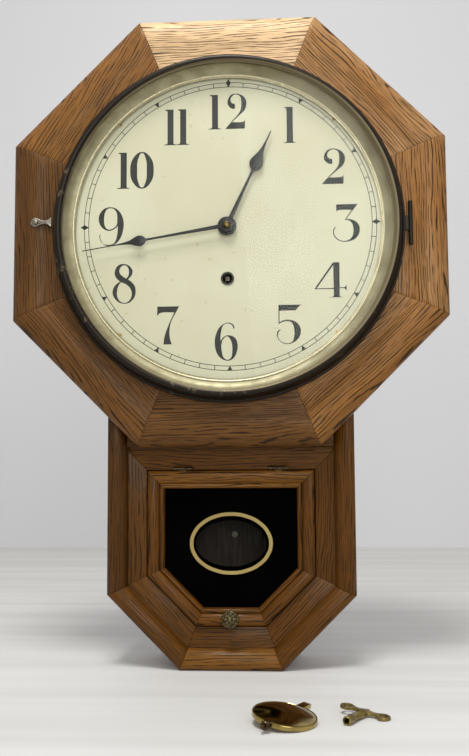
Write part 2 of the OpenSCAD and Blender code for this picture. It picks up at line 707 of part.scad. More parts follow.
// Verge: a pallet strip over the escape wheel, an arbor, and a crutch behind the back plate
verge_end_d = plate_d - 3.4;
pallet_r = escape_r + 1.9;
rod_r = 1;
rod_d = plate_d - 5;
crutch_drop = 34;

module verge() color("slategray") {
  dial_rod(verge_at, arbor_r, inner_d + end_shake, front_plate_d - end_shake);
  dial_rod(verge_at, pivot_r, verge_end_d, plates_out_d + 0.3);
  at_dial(inner_d + escape_in) translate(escape_at) linear_extrude(wheel_t) difference() {
    polygon(concat(arc([0, 0], pallet_r, pallet_r, 48, 132, 12),
      arc([0, 0], pallet_r + 1.6, pallet_r + 1.6, 132, 48, 12)));
    translate(verge_at - escape_at) circle(r = arbor_r - 0.1);
  }
  at_dial(verge_end_d) translate(verge_at) {
    translate([-0.8, -crutch_drop, 0]) cube([1.6, crutch_drop + 1.5, 1]);
    translate([-3, -crutch_drop, 0]) cube([6, 1.6, 1]);
    for (x = [-rod_r - run_gap - 1, rod_r + run_gap])
      translate([x, -crutch_drop, -5]) cube([1, 1.6, 5.5]);
  }
}

// Pendulum: a strip of spring, a wire rod, and an eye at the foot for the bob
pendulum_top = suspension_at[1] - stud_r - run_gap;
eye_r = 2.8;
module pendulum_rod() color("slategray") {
  at_dial(rod_d - 2.5) translate([-0.2, pendulum_top - 13, 0]) cube([0.4, 13, 5]);
  translate([0, foot_d / 2 - rod_d, dial_z + pendulum_top - pendulum_l]) {
    cylinder(r = rod_r, h = pendulum_l - 12);
    translate([0, 0, -eye_r]) rotate([0, 90, 0])
      rotate_extrude() translate([eye_r, 0]) circle(r = rod_r);
  }
}

// Motion work in front of the plates: the cannon drives the hour wheel at one twelfth
cannon_train = [12, 36, 0.7];
hour_train = [40, 10, 2 * reach(cannon_train) / 50];
motion_a = -50;
motion_at = reach(cannon_train) * [cos(motion_a), sin(motion_a)];
cannon_d = plates_out_d + 4;
hour_wheel_d = cannon_d + 4.5;
post_r = 1.2;

module cannon_pinion() {
  pinion([0, 0], cannon_train[0], cannon_train[2], 0, cannon_r, cannon_d, 3);
  color("silver") difference() {
    dial_rod([0, 0], cannon_r, plates_out_d + 1, minute_hand_d + hand_t);
    dial_rod([0, 0], centre_r + fit_gap, plates_out_d, minute_hand_d + 2);
  }
}
module motion_wheel() {
  bore = post_r + fit_gap;
  wheel(motion_at, cannon_train[1], cannon_train[2],
    mesh(motion_a, cannon_train[0], 0, cannon_train[1]), post_r + 1.1, cannon_d + 0.5, wheel_t);
  pinion(motion_at, hour_train[1], hour_train[2], 0, post_r + 1.1, hour_wheel_d - 0.7, 3);
  color("silver") difference() {
    dial_rod(motion_at, post_r + 1.1, cannon_d - 0.5, hour_wheel_d + 3);
    dial_rod(motion_at, bore, cannon_d - 1, hour_wheel_d + 4);
  }
}
module hour_wheel() {
  wheel([0, 0], hour_train[0], hour_train[2], mesh(motion_a + 180, hour_train[1], 0, hour_train[0]),
    hour_pipe_r, hour_wheel_d, wheel_t);
  color("goldenrod") difference() {
    dial_rod([0, 0], hour_pipe_r, cannon_d + 3.4, hour_hand_d + hand_t);
    dial_rod([0, 0], cannon_r + fit_gap, cannon_d, hour_hand_d + 2);
  }
}

// Bob: a lens of sheet brass that leans on its round back, with a sleeve and a nut on a screw
bob_at = [53, -208];
bob_a = 60;
bob_lean = 9;
bob_edge = 3;
bob_dome = 3;
dome_r = (bob_r * bob_r + bob_dome * bob_dome) / 2 / bob_dome;
bob_low = dome_r - bob_dome - bob_edge / 2;
sleeve_size = [7, 13, 4];
nut_r = 3.6;
nut_t = 4;
function dome(up) = [for (i = [0:8]) let (x = bob_r * i / 8)
  [x, up * (bob_edge / 2 + sqrt(dome_r * dome_r - x * x) - dome_r + bob_dome)]];

module beside_case(at, a) translate([at[0], at[1], 0]) rotate(a) children();
module on_bob() beside_case(bob_at, bob_a) translate([0, -bob_low * sin(bob_lean), dome_r])
  rotate([bob_lean, 0, 0]) translate([0, 0, -bob_low]) children();

module pendulum_bob() color("goldenrod") on_bob() {
  rotate_extrude() polygon(concat(dome(-1), reversed(dome(1))));
  difference() {
    translate([bob_r - 2, -sleeve_size[0] / 2, -sleeve_size[2] / 2])
      cube([sleeve_size[1], sleeve_size[0], sleeve_size[2]]);
    translate([bob_r + 3, -sleeve_size[0] / 2 + 1, -sleeve_size[2] / 2 + 0.8])
      cube([sleeve_size[1], sleeve_size[0] - 2, sleeve_size[2] - 1.6]);
  }
  translate([-bob_r - 9, 0, 0]) rotate([0, 90, 0]) cylinder(r = rod_r + 0.2, h = 12);
}
module rating_nut() color("darkgoldenrod") on_bob() translate([-bob_r - 1.2 - nut_t, 0, 0])
  rotate([0, 90, 0]) difference() {
    cylinder(r = nut_r, h = nut_t);
    translate([0, 0, -1]) cylinder(r = rod_r + 0.2 + fit_gap, h = nut_t + 2);
  }

// Key: a barrel with a square socket, and a wing with two rings, one of them on the ground
key_at = [101, -212];
key_a = 58;
barrel_r = 3.6;
wing_t = 2.4;
ring_span = 32;
ring_r = 6;
ring_hole_r = 3.4;
key_roll = asin((barrel_r - wing_t / 2) / (ring_span / 2 + ring_r));

module winding_key() color("darkkhaki") beside_case(key_at, key_a)
  translate([0, 0, barrel_r]) rotate([key_roll, 0, 0]) difference() {
    union() {
      rotate([0, 90, 0]) cylinder(r = barrel_r, h = key_l);
      translate([key_l, 0, -wing_t / 2]) linear_extrude(wing_t) {
        for (s = [-1, 1]) translate([4, s * ring_span / 2]) circle(r = ring_r);
        polygon([[-6, -barrel_r + 0.6], [1, -6], [2, -ring_span / 2], [6, -ring_span / 2], [8, -4],
          [10, 0], [8, 4], [6, ring_span / 2], [2, ring_span / 2], [1, 6], [-6, barrel_r - 0.6]]);
      }
    }
    translate([-1, -square_w / 2 - 0.15, -square_w / 2 - 0.15])
      cube([18, square_w + 0.3, square_w + 0.3]);
    for (s = [-1, 1]) translate([key_l + 4, s * ring_span / 2, -wing_t])
      cylinder(r = ring_hole_r, h = 2 * wing_t);
  }

backboard();
case_board(0, trunk_d, "sienna");  // bottom_board
for (i = [1, 11]) case_board(i, trunk_d, "sienna");  // trunk_corner_boards
case_board(10, trunk_d, "sienna");  // trunk_side_left
case_board(2, trunk_d, "sienna");  // trunk_side_right
for (i = [3, 9]) case_board(i, octagon_back_d, "sienna");  // box_shoulder_boards
for (i = [4, 8]) case_board(i, octagon_back_d, "sienna");  // box_side_boards
for (i = [5:7]) case_board(i, octagon_back_d, "sienna");  // box_upper_boards
for (i = [0:7]) octagon_stick(i);
front_frame();
trunk_moulding();
spacer_strip();
hanger_plate();
case_screws();
door_frame();
tablet_glass();
glazing_strips();
door_hinge_fixed();
door_hinge_moving();
door_knob();
turn_button();
dial_plate();
dial_screws();
winding_grommet();
bezel_rim();
sight_ring();
dial_glass();
bezel_hinge_fixed();
bezel_hinge_moving();
bezel_latch();
latch_screw();
hour_hand();
minute_hand();
hand_nut();
cannon_pinion();
motion_wheel();
hour_wheel();
movement_plates();
pillars_and_nuts();
movement_feet();
winding_arbor();
mainspring();
great_wheel();
click();
second_wheel();
centre_wheel();
third_wheel();
escape_wheel();
verge();
pendulum_rod();
pendulum_bob();
rating_nut();
winding_key();
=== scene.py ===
import bmesh
import bpy
import math
import random
from mathutils import Matrix, Vector


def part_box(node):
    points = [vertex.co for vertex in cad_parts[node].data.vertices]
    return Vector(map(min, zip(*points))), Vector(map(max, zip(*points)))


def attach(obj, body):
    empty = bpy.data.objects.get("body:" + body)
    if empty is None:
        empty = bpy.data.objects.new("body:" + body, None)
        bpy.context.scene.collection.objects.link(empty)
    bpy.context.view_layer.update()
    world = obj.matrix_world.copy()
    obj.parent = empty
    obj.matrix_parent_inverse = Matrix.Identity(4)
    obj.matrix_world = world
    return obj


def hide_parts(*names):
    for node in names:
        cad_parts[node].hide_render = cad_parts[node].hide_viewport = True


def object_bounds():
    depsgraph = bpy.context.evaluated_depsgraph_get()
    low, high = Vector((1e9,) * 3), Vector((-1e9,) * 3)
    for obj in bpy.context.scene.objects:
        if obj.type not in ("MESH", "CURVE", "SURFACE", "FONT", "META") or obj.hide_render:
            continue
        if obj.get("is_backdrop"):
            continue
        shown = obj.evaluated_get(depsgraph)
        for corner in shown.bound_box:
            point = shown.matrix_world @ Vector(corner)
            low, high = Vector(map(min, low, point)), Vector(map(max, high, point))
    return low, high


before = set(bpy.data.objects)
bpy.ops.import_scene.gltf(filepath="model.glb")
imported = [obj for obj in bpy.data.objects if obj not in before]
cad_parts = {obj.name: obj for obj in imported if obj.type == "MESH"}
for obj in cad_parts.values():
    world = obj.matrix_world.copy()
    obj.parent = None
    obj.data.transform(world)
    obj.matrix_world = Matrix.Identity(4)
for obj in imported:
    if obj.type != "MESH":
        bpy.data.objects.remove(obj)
cad_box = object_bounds()

# Case boards: twelve oak boards, 10 mm thick, that stand in a ring round the backboard. Their
# ends are mitred, glued and pinned. The lower ones stop at the front frame, and the upper ones
# go on to the octagon. Neighbours clear each other by a hair's breadth.
MM = 0.001
hair = 0.05
wall_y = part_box("backboard")[1].y
chance = random.Random(12)


def place(x, depth, z):
    """A point of the clock, in millimetres from the centre line, the wall and the table."""
    return Vector((x * MM, wall_y - depth * MM, z * MM))


def depths(node):
    """How far the back and the front of a part lie from the wall, in millimetres."""
    low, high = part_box(node)
    return (wall_y - high.y) / MM, (wall_y - low.y) / MM


def inward(outline, distance):
    """The outline moved in by a distance."""
    moved = []
    for i, corner in enumerate(outline):
        before = (corner - outline[i - 1]).normalized().orthogonal()
        after = (outline[(i + 1) % len(outline)] - corner).normalized().orthogonal()
        middle = (before + after).normalized()
        moved.append(corner + middle * distance / middle.dot(before))
    return moved


def mirrored(right):
    """An outline from its right half, which runs up from the foot. It starts at the left foot."""
    left = [Vector((-x, z)) for x, z in reversed(right)]
    return left[-1:] + [Vector(p) for p in right] + left[:-1]


def soften(bm, width):
    """Rounds every edge that turns more than 25 degrees."""
    edges = [e for e in bm.edges if e.is_manifold and e.calc_face_angle() > math.radians(25)]
    bmesh.ops.bevel(bm, geom=edges, offset=width, offset_type="OFFSET", segments=2,
                    profile=0.5, affect="EDGES", clamp_overlap=True, material=-1)


def mitred(outer, side, profile, cuts=0, gap=hair):
    """A stick of a frame: its section is drawn in one mitre and pulled into the next."""
    bm = bmesh.new()
    inner = inward(outer, 1)
    far = (side + 1) % len(outer)
    shift = (outer[far] - outer[side]).normalized() * gap
    ring = []
    for t, depth in profile:
        spot = outer[side].lerp(inner[side], t) + shift
        ring.append(bm.verts.new(place(spot.x, depth, spot.y)))
    bmesh.ops.extrude_face_region(bm, geom=[bm.faces.new(ring)])
    long_edges = []
    for vert, (t, depth) in zip(ring, profile):
        edge = next(e for e in vert.link_edges if e.other_vert(vert) not in ring)
        spot = outer[far].lerp(inner[far], t) - shift
        edge.other_vert(vert).co = place(spot.x, depth, spot.y)
        long_edges.append(edge)
    if cuts:
        bmesh.ops.subdivide_edges(bm, edges=long_edges, cuts=cuts, use_grid_fill=True)
    return bm


def mesh_of(name, bm):
    """The mesh of a finished shape."""
    mesh = bpy.data.meshes.new(name)
    bm.to_mesh(mesh)
    bm.free()
    return mesh


def shown(name, data):
    """An object that stands in the scene."""
    obj = bpy.data.objects.new(name, data)
    bpy.context.scene.collection.objects.link(obj)
    return obj


def piece(name, bm, finish, slot, body, *stands_for, at=None, turn=35):
    """Puts the finished shape in its place and makes it a piece that moves with its body."""
    if at is not None:
        bm.transform(at)
    bmesh.ops.recalc_face_normals(bm, faces=bm.faces)
    mesh = mesh_of(name, bm)
    mesh.shade_smooth()
    mesh.set_sharp_from_angle(angle=math.radians(turn))
    mesh.materials.append(finish)
    obj = shown(name, mesh)
    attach(obj, body)
    if stands_for:
        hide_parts(*stands_for)
    return obj


def grain_runs(obj, start, end, tone, slant):
    """Lays the wood's fibres along a piece, and cuts it from its own part of a log."""
    along = (Matrix.Rotation(math.radians(slant), 2) @ (end - start)).normalized()
    across = along.orthogonal()
    log = Vector([chance.uniform(0, 9) for _ in range(3)])
    fibres = []
    for vert in obj.data.vertices:
        spot = Vector((vert.co.x, vert.co.z)) - start * MM
        fibres.extend(Vector((spot.dot(along), spot.dot(across), vert.co.y)) + log)
    grain = obj.data.attributes.new("grain", "FLOAT_VECTOR", "POINT")
    grain.data.foreach_set("vector", fibres)
    shade = obj.data.attributes.new("tone", "FLOAT", "POINT")
    shade.data.foreach_set("value", [tone] * len(obj.data.vertices))


def wooden(name, bm, edge, finish, slot, body, node, run, tone, slant=0.0):
    """A piece of wood: its edges are rounded, and its fibres run from one corner to another."""
    soften(bm, edge * MM)
    obj = piece(name, bm, finish, slot, body, node)
    grain_runs(obj, *run, tone, slant)


def side_of(outline, side):
    """The two corners that one side of an outline runs between."""
    return outline[side], outline[(side + 1) % len(outline)]


class Value:
    """What a node gives. A sum written with it adds the Math nodes that work it out."""

    def __init__(self, finish, socket):
        self.finish = finish
        self.socket = socket

    def __add__(self, other):
        return self.finish.math("ADD", self, other)

    def __sub__(self, other):
        return self.finish.math("SUBTRACT", self, other)

    def __rsub__(self, other):
        return self.finish.math("SUBTRACT", other, self)

    def __mul__(self, other):
        return self.finish.math("MULTIPLY", self, other)

    __radd__ = __add__
    __rmul__ = __mul__

    def step(self, low, high):
        """Rises softly from 0 to 1 between two levels."""
        limits = {"Value": self, "From Min": low, "From Max": high}
        return self.finish.node("ShaderNodeMapRange", {"interpolation_type": "SMOOTHSTEP"}, limits)

    def mix(self, low, high):
        """A colour between two others, by this value."""
        colours = {0: self, 6: low, 7: high}
        return self.finish.node("ShaderNodeMix", {"data_type": "RGBA"}, colours, 2)


class Finish:
    """A material that is built node by node."""

    def __init__(self, name):
        self.material = bpy.data.materials.new(name)
        self.material.use_nodes = True
        self.tree = self.material.node_tree
        self.tree.nodes.clear()

    def node(self, kind, settings=None, sockets=None, out=0):
        """Adds a node: its settings first, and then what its sockets hold or are linked to."""
        made = self.tree.nodes.new(kind)
        for name, value in (settings or {}).items():
            setattr(made, name, value)
        for key, value in (sockets or {}).items():
            if isinstance(value, Value):
                self.tree.links.new(value.socket, made.inputs[key])
            else:
                made.inputs[key].default_value = value
        return Value(self, made.outputs[out])

    def math(self, operation, *terms):
        return self.node("ShaderNodeMath", {"operation": operation}, dict(enumerate(terms)))

    def spot(self):
        """Where a point of the piece lies, in metres."""
        return self.node("ShaderNodeTexCoord", out=3)

    def axis(self, vector, letter):
        """One of the three numbers of a place."""
        return self.node("ShaderNodeSeparateXYZ", {}, {"Vector": vector}, letter)

    def noise(self, vector, scale, detail=2.0, rough=0.5):
        """Soft blotches, so many to the metre: along each axis, or the same along all."""
        scale = scale if isinstance(scale, tuple) else (scale,) * 3
        spot = self.node("ShaderNodeMapping", {}, {"Vector": vector, "Scale": scale})
        sockets = {"Vector": spot, "Scale": 1.0, "Detail": detail, "Roughness": rough}
        return self.node("ShaderNodeTexNoise", {}, sockets)

    def relief(self, height, distance, strength=1.0):
        """Fine unevenness of the surface, its depth in metres."""
        sockets = {"Height": height, "Distance": distance, "Strength": strength}
        return self.node("ShaderNodeBump", {}, sockets)

    def surface(self, colour, rough, relief, metallic=0.0, gloss=None):
        """The material itself, with what else its gloss needs."""
        sockets = {"Base Color": colour, "Roughness": rough, "Metallic": metallic, **(gloss or {})}
        if relief:
            sockets["Normal"] = relief
        return self.close(self.node("ShaderNodeBsdfPrincipled", {}, sockets))

    def close(self, shader):
        """Ends the material in a shader."""
        output = self.tree.nodes.new("ShaderNodeOutputMaterial")
        self.tree.links.new(shader.socket, output.inputs["Surface"])
        return self.material


def paint(red, green, blue):
    """A colour as it is read off a screen, from 0 to 255."""
    linear = []
    for c in (red, green, blue):
        linear.append(((c / 255 + 0.055) / 1.055) ** 2.4 if c > 10 else c / 3294.6)
    return (*linear, 1.0)


def oak(name, dark, golden, pale, pore, contrast=1.0, varnish=0.07):
    """Varnished oak: bands of colour, dark pores in slanting rows, fine lines and a thin gloss."""
    wood = Finish(name)
    grain = wood.node("ShaderNodeAttribute", {"attribute_name": "grain"}, out=1)
    tone = wood.node("ShaderNodeAttribute", {"attribute_name": "tone"}, out=2)
    sway = (wood.noise(grain, (9, 26, 26), 1) - 0.5) * 0.009
    moved = wood.node("ShaderNodeCombineXYZ", {}, {"Y": sway, "Z": sway})
    grain = wood.node("ShaderNodeVectorMath", {"operation": "ADD"}, {0: grain, 1: moved})
    cut_through = wood.axis(grain, "Y") + wood.axis(grain, "Z") * 0.8
    drift = wood.noise(grain, (10, 80, 80), 2) * 16.0
    rows = wood.math("SINE", cut_through * 2250.0 + drift).step(0.25, 1.0)
    lines = wood.noise(grain, (8, 980, 980), 2, 0.55).step(0.48, 0.64)
    dashes = rows * wood.noise(grain, (42, 380, 380), 1).step(0.36, 0.54)
    pores = wood.noise(grain, (90, 1900, 1900), 2).step(0.50, 0.66)
    bands = wood.noise(grain, (3, 70, 70), 3)
    clouds = wood.noise(grain, (7, 14, 14), 2)
    level = (tone + (bands - 0.5) * 0.24 + (clouds - 0.5) * 0.18) * 2.0
    colour = level.mix(dark, golden)
    colour = (level - 1.0).mix(colour, pale)
    mark = wood.math("MAXIMUM", lines * 0.34, dashes * 0.8)
    mark = (mark + pores * 0.18) * contrast
    colour = mark.mix(colour, pore)
    rough = 0.36 + mark * 0.22 + (clouds - 0.5) * 0.12
    gloss = {"Specular IOR Level": 0.2, "Specular Tint": (1, 0.8, 0.55, 1),
             "Coat Weight": varnish, "Coat Roughness": 0.2}
    return wood.surface(colour, rough, wood.relief(mark * -1.0, 0.0003, 0.6), gloss=gloss)


dial_low, dial_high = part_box("dial_plate")
dial_z = (dial_low.z + dial_high.z) / 2 / MM
trunk_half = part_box("trunk_side_right")[1].x / MM
box_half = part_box("box_side_boards")[1].x / MM
eighth = math.tan(math.pi / 8)
trunk_foot = [(trunk_half * eighth, 0), (trunk_half, trunk_half * (1 - eighth))]
shoulder_z = dial_z - box_half * (1 + eighth) + trunk_half
case_outline = mirrored(trunk_foot + [
    (trunk_half, shoulder_z), (box_half, dial_z - box_half * eighth),
    (box_half, dial_z + box_half * eighth), (box_half * eighth, dial_z + box_half)])
board_t = 10
board_edge = 0.4
back_t = depths("backboard")[1]
trunk_d = depths("bottom_board")[1]
octagon_back = depths("octagon_top")[0]
side_oak = oak("side oak", paint(54, 29, 5), paint(106, 63, 18), paint(154, 104, 50),
               paint(32, 17, 7))
board_nodes = ["bottom_board", "trunk_corner_boards", "trunk_side_right", "box_shoulder_boards",
               "box_side_boards", "box_upper_boards", "box_upper_boards", "box_upper_boards",
               "box_side_boards", "box_shoulder_boards", "trunk_side_left", "trunk_corner_boards"]
for side, node in enumerate(board_nodes):
    back = back_t + hair
    front = (octagon_back if 3 <= side <= 9 else trunk_d) - hair
    section = [(0, back), (0, front), (board_t, front), (board_t, back)]
    board = mitred(case_outline, side, section)
    wooden(f"case_board_{side + 1}", board, board_edge, side_oak, "side_oak", "case", node,
           side_of(case_outline, side), 0.4)

# Backboard: one oak-veneered panel, 8 mm thick, cut to the case's outline and screwed to the
# boards. Its fibres run up, and its face is stained and left without varnish.
panel = Finish("backboard wood")
spot = panel.spot()
fibres = panel.noise(spot, (160, 160, 6), 3)
flecks = panel.noise(spot, (900, 900, 40), 2).step(0.5, 0.7)
blush = panel.noise(spot, (9, 9, 4), 2)
level = (fibres * 0.9 + (blush - 0.5) * 0.5).step(0.2, 0.8)
colour = level.mix(paint(42, 21, 12), paint(60, 35, 21))
colour = (flecks * 0.6).mix(colour, paint(36, 22, 15))
relief = panel.relief(fibres - flecks * 0.6, 0.0002)
backboard_wood = panel.surface(colour, 0.6 + flecks * 0.2, relief)


def refinish(finish, *nodes):
    """Gives parts that keep their own shape a new surface."""
    for node in nodes:
        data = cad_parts[node].data
        data.materials.clear()
        data.materials.append(finish)


refinish(backboard_wood, "backboard")

# Octagon: eight oak sticks glued in a ring, 435 mm across. Each has a quarter-round edge, a long
# cove that falls to a flat, and a round opening turned in the glued ring. The eight come from
# different boards, so they differ in colour; their tones also carry painted light and shade: the
# top stick is painted palest, the right-hand ones lighter than the left, and the left and bottom
# darkest.
octagon_names = ["bottom", "lower_right", "right", "upper_right", "top", "upper_left", "left",
                 "lower_left"]
octagon_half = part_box("octagon_right")[1].x / MM
opening_r = 145
octagon_front = 100
crest_d = depths("octagon_top")[1]
corner_r = octagon_half / math.cos(math.pi / 8)
octagon = []
for i in range(8):
    angle = math.radians(45 * i - 112.5)
    octagon.append(Vector((corner_r * math.cos(angle), dial_z + corner_r * math.sin(angle))))


def arc(x, y, rx, ry, first, last, steps=8):
    """Points round part of an ellipse, from one angle to another."""
    turns = [math.radians(first + (last - first) * i / steps) for i in range(steps + 1)]
    return [(x + rx * math.cos(a), y + ry * math.sin(a)) for a in turns]


edge_d = 90
crest_in = 21.5
slope_w = 17.2
flat_in = 84.5
section = [(0, octagon_back)] + arc(crest_in, edge_d, crest_in, crest_d - edge_d, 180, 90, 10)
for i in range(1, 9):
    sunk = (crest_d - octagon_front) * (1 + math.cos(math.pi * i / 8)) / 2
    section.append((crest_in + slope_w * i / 8, octagon_front + sunk))
section += [(flat_in, octagon_front), (flat_in, octagon_back)]
front_oak = oak("front oak", paint(54, 30, 8), paint(138, 93, 45), paint(224, 188, 144),
                paint(34, 19, 9), 1.15)
# Each stick's tone is its board's colour with painted light and shade: the top is painted palest,
# the right lighter than the left, and the left and bottom darkest.
tones = [0.19, 0.49, 0.54, 0.58, 0.96, 0.38, 0.14, 0.21]
slants = [2, -3, 2, -4, 1, 12, 3, -5]
for side, name in enumerate(octagon_names):
    stick = mitred(octagon, side, section, cuts=30)
    for vert in stick.verts:
        out = Vector((vert.co.x, vert.co.z - dial_z * MM))
        if out.length < opening_r * MM:
            out = out.normalized() * opening_r * MM
            vert.co.x, vert.co.z = out.x, out.y + dial_z * MM
    node = "octagon_" + name
    wooden(node + "_stick", stick, 0.35, front_oak, "front_oak", "case", node,
           side_of(octagon, side), tones[side], slants[side])

# Front frame of the lower case: a flat rail along each edge of the door, two stiles and a head
# rail among them, 9 mm thick and glued to the fronts of the boards. The head rail is mitred into
# the stiles and runs up behind the octagon.
frame_back, frame_front = depths("front_frame")
door_play = 0.8
door_half = 83.5
stile_x = 114.5
mitre_h = 30.2
behind_octagon = 15
trunk_top = shoulder_z - 3
trunk_outline = mirrored(trunk_foot + [(trunk_half, trunk_top)])
door_outline = mirrored([(34.6, 42), (door_half, 90.9), (door_half, 194.5)])
frame_inside = inward(door_outline, -door_play)
rail_end = Vector((stile_x, frame_inside[3].y + mitre_h))
rail_top = Vector((stile_x, dial_z - octagon_half + behind_octagon))
trunk_oak = oak("lower case oak", paint(40, 20, 2), paint(96, 57, 9), paint(154, 106, 44),
                paint(19, 10, 4), 1.1, 0.1)
rails = []
for i in (0, 1, 5):
    j = (i + 1) % 6
    rails.append([trunk_outline[i], trunk_outline[j], frame_inside[j], frame_inside[i]])
for s in (1, -1):
    flip = Matrix(((s, 0), (0, 1)))
    stile = [trunk_outline[2], trunk_outline[3], Vector((stile_x, trunk_top)), rail_end,
             frame_inside[3], frame_inside[2]]
    rails.append([flip @ p for p in stile])
rails.append([frame_inside[4], frame_inside[3], rail_end, rail_top,
              Vector((-rail_top.x, rail_top.y)), Vector((-rail_end.x, rail_end.y))])


def new_parts(result, kind=bmesh.types.BMVert):
    """The corners, or the edges, that an extrusion has made."""
    return [part for part in result["geom"] if isinstance(part, kind)]


def plate(outline, back, front):
    """A flat piece cut to an outline."""
    bm = bmesh.new()
    area = sum(a.cross(b) for a, b in zip(outline, outline[1:] + outline[:1]))
    shrunk = inward(outline, hair if area > 0 else -hair)
    face = bm.faces.new([bm.verts.new(place(p.x, back, p.y)) for p in shrunk])
    verts = new_parts(bmesh.ops.extrude_face_region(bm, geom=[face]))
    bmesh.ops.translate(bm, verts=verts, vec=(0, (back - front) * MM, 0))
    return bm


for i, outline in enumerate(rails):
    rail = plate(outline, frame_back + hair, frame_front - hair)
    wooden(f"front_rail_{i + 1}", rail, board_edge, trunk_oak, "front_oak", "case",
           "front_frame", outline[:2], 0.36 + 0.1 * chance.random())

# Moulding of the lower case: a half-round oak moulding that is glued round the front frame,
# flush with the case. Its five sticks meet in mitres that have opened a little with age.
moulding_back, moulding_front = depths("trunk_moulding")
moulding_w = 20.5
crest_in = 8
section = [(0, moulding_back + hair)] + arc(crest_in, 74, 8, moulding_front - 74, 180, 90, 8)
section += arc(crest_in, 72.5, 12.4, moulding_front - 72.5, 82, 0, 10)
section += [(moulding_w, moulding_back + hair)]


def sticks(name, outline, section, body, node, tones, edge, gap=hair):
    """A frame of mitred sticks. A side without a tone has no stick."""
    for side, tone in tones.items():
        stick = mitred(outline, side, section, gap=gap)
        wooden(f"{name}_{side + 1}", stick, edge, trunk_oak, "front_oak", body, node,
               side_of(outline, side), tone)


# These tones are partly painted light and shade: the bottom stick, whose top edge catches the
# light, is painted lightest, and the left stick darkest.
tones = {0: 0.62, 1: 0.48, 2: 0.42, 4: 0.25, 5: 0.4}
sticks("trunk_moulding", trunk_outline, section, "case", "trunk_moulding", tones, 0.3, 0.12)

# Spacer strip: a plain oak strip that fills the space between the front frame and the back of
# the octagon, above the door.
strip_back, strip_front = depths("spacer_strip")
low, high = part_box("spacer_strip")
corners = [(low.x, low.z), (high.x, low.z), (high.x, high.z), (low.x, high.z)]
outline = [Vector((x / MM, z / MM)) for x, z in corners]
strip = plate(outline, strip_back + hair, strip_front - hair)
wooden("spacer_strip_oak", strip, board_edge, trunk_oak, "front_oak", "case", "spacer_strip",
       outline[:2], 0.2)

# Door: six mitred oak rails with a rounded outer edge and a bead next to the glass, rebated at
# the back for the glass, which six thin strips hold in.
door_back, door_front = depths("door_frame")
rail_w = 17.5
rebate_w = 12.5
rebate_d = 68.02
crest_in = 6
round_d = 72
section = [(0, door_back)] + arc(crest_in, round_d, 6, door_front - round_d, 180, 90, 8)
section += arc(crest_in, round_d, 6.6, door_front - round_d, 75, 15, 5) + [(12.7, 72.6)]
section += arc(rail_w - 2.6, 71.6, 2.6, 3.1, 145, 0, 8)
section += [(rail_w, rebate_d), (rebate_w, rebate_d), (rebate_w, door_back)]
# The top rail's higher tone is painted light: it is made paler where light from above falls on it.
tones = {0: 0.46, 1: 0.44, 2: 0.38, 3: 0.66, 4: 0.36, 5: 0.42}
sticks("door_rail", door_outline, section, "door", "door_frame", tones, 0.25)
strip_back, strip_front = depths("glazing_strips")
strip_front -= hair
strip_w = 4.4
glass_outline = inward(door_outline, rebate_w + 0.3)
section = [(0, strip_back), (0, strip_front), (strip_w, strip_front), (strip_w, strip_back)]
tones = dict.fromkeys(range(6), 0.4)
sticks("glazing_strip", glass_outline, section, "door", "glazing_strips", tones, board_edge)

# Tablet: the door's clear glass, painted black on the back apart from an oval, with a gold ring
# round the oval. The glass is drawn sheet, so it waves a little.
tablet_back, tablet_front = depths("tablet_glass")


def glass(name, tint, gloss):
    """Thin clear glass: it lets the view through and mirrors a little of the room."""
    pane = Finish(name)
    waves = pane.noise(pane.spot(), 14, 1)
    wavy = pane.relief(waves, 0.0006, 0.3)
    clear = pane.node("ShaderNodeBsdfTransparent", {}, {"Color": tint})
    mirror = pane.node("ShaderNodeBsdfGlossy", {}, {"Roughness": 0.03, "Normal": wavy})
    share = pane.node("ShaderNodeFresnel", {}, {"IOR": 1.5, "Normal": wavy}) * gloss
    return pane.close(pane.node("ShaderNodeMixShader", {}, {0: share, 1: clear, 2: mirror}))


tablet_clear = glass("tablet glass", (0.93, 0.96, 0.94, 1), 0.0)
pane = plate(glass_outline, tablet_back + 0.2, tablet_front)
soften(pane, 0.15 * MM)
piece("tablet_pane", pane, tablet_clear, "tablet", "door", "tablet_glass")

upright = Matrix.Rotation(math.pi / 2, 4, "X") @ Matrix.Scale(MM, 4)
C = "corner"


def front(x, depth, z, turn=0.0):
    """Stands a flat shape up against the clock's face, turned as a clock hand turns."""
    turned = upright @ Matrix.Rotation(-math.radians(turn), 4, "Z")
    return Matrix.Translation(place(x, depth, z)) @ turned


def cut(loops, thickness, edge=0.0, fineness=6):
    """A sheet, in millimetres, cut to an outline and its holes. The mark C makes a corner."""
    curve = bpy.data.curves.new("cut", "CURVE")
    curve.dimensions = "2D"
    curve.fill_mode = "BOTH"
    curve.resolution_u = fineness
    curve.extrude = thickness / 2 - edge
    curve.bevel_depth = edge
    curve.bevel_resolution = 1
    curve.offset = -edge
    for loop in loops:
        spline = curve.splines.new("BEZIER")
        spline.bezier_points.add(len(loop) - 1)
        spline.use_cyclic_u = True
        for point, spot in zip(spline.bezier_points, loop):
            kind = "VECTOR" if len(spot) == 3 else "AUTO"
            point.co = (spot[0], spot[1], 0)
            point.handle_left_type = kind
            point.handle_right_type = kind
    holder = shown("cut", curve)
    ready = holder.evaluated_get(bpy.context.evaluated_depsgraph_get())
    mesh = bpy.data.meshes.new_from_object(ready)
    bm = bmesh.new()
    bm.from_mesh(mesh)
    bpy.data.objects.remove(holder)
    bpy.data.curves.remove(curve)
    bpy.data.meshes.remove(mesh)
    bmesh.ops.remove_doubles(bm, verts=bm.verts, dist=0.0005)
    bmesh.ops.translate(bm, verts=bm.verts, vec=(0, 0, thickness / 2))
    return bm


def oval(rx, ry, x=0.0, y=0.0, steps=16):
    """A ring of points round an ellipse."""
    return arc(x, y, rx, ry, 0, 360 - 360 / steps, steps - 1)


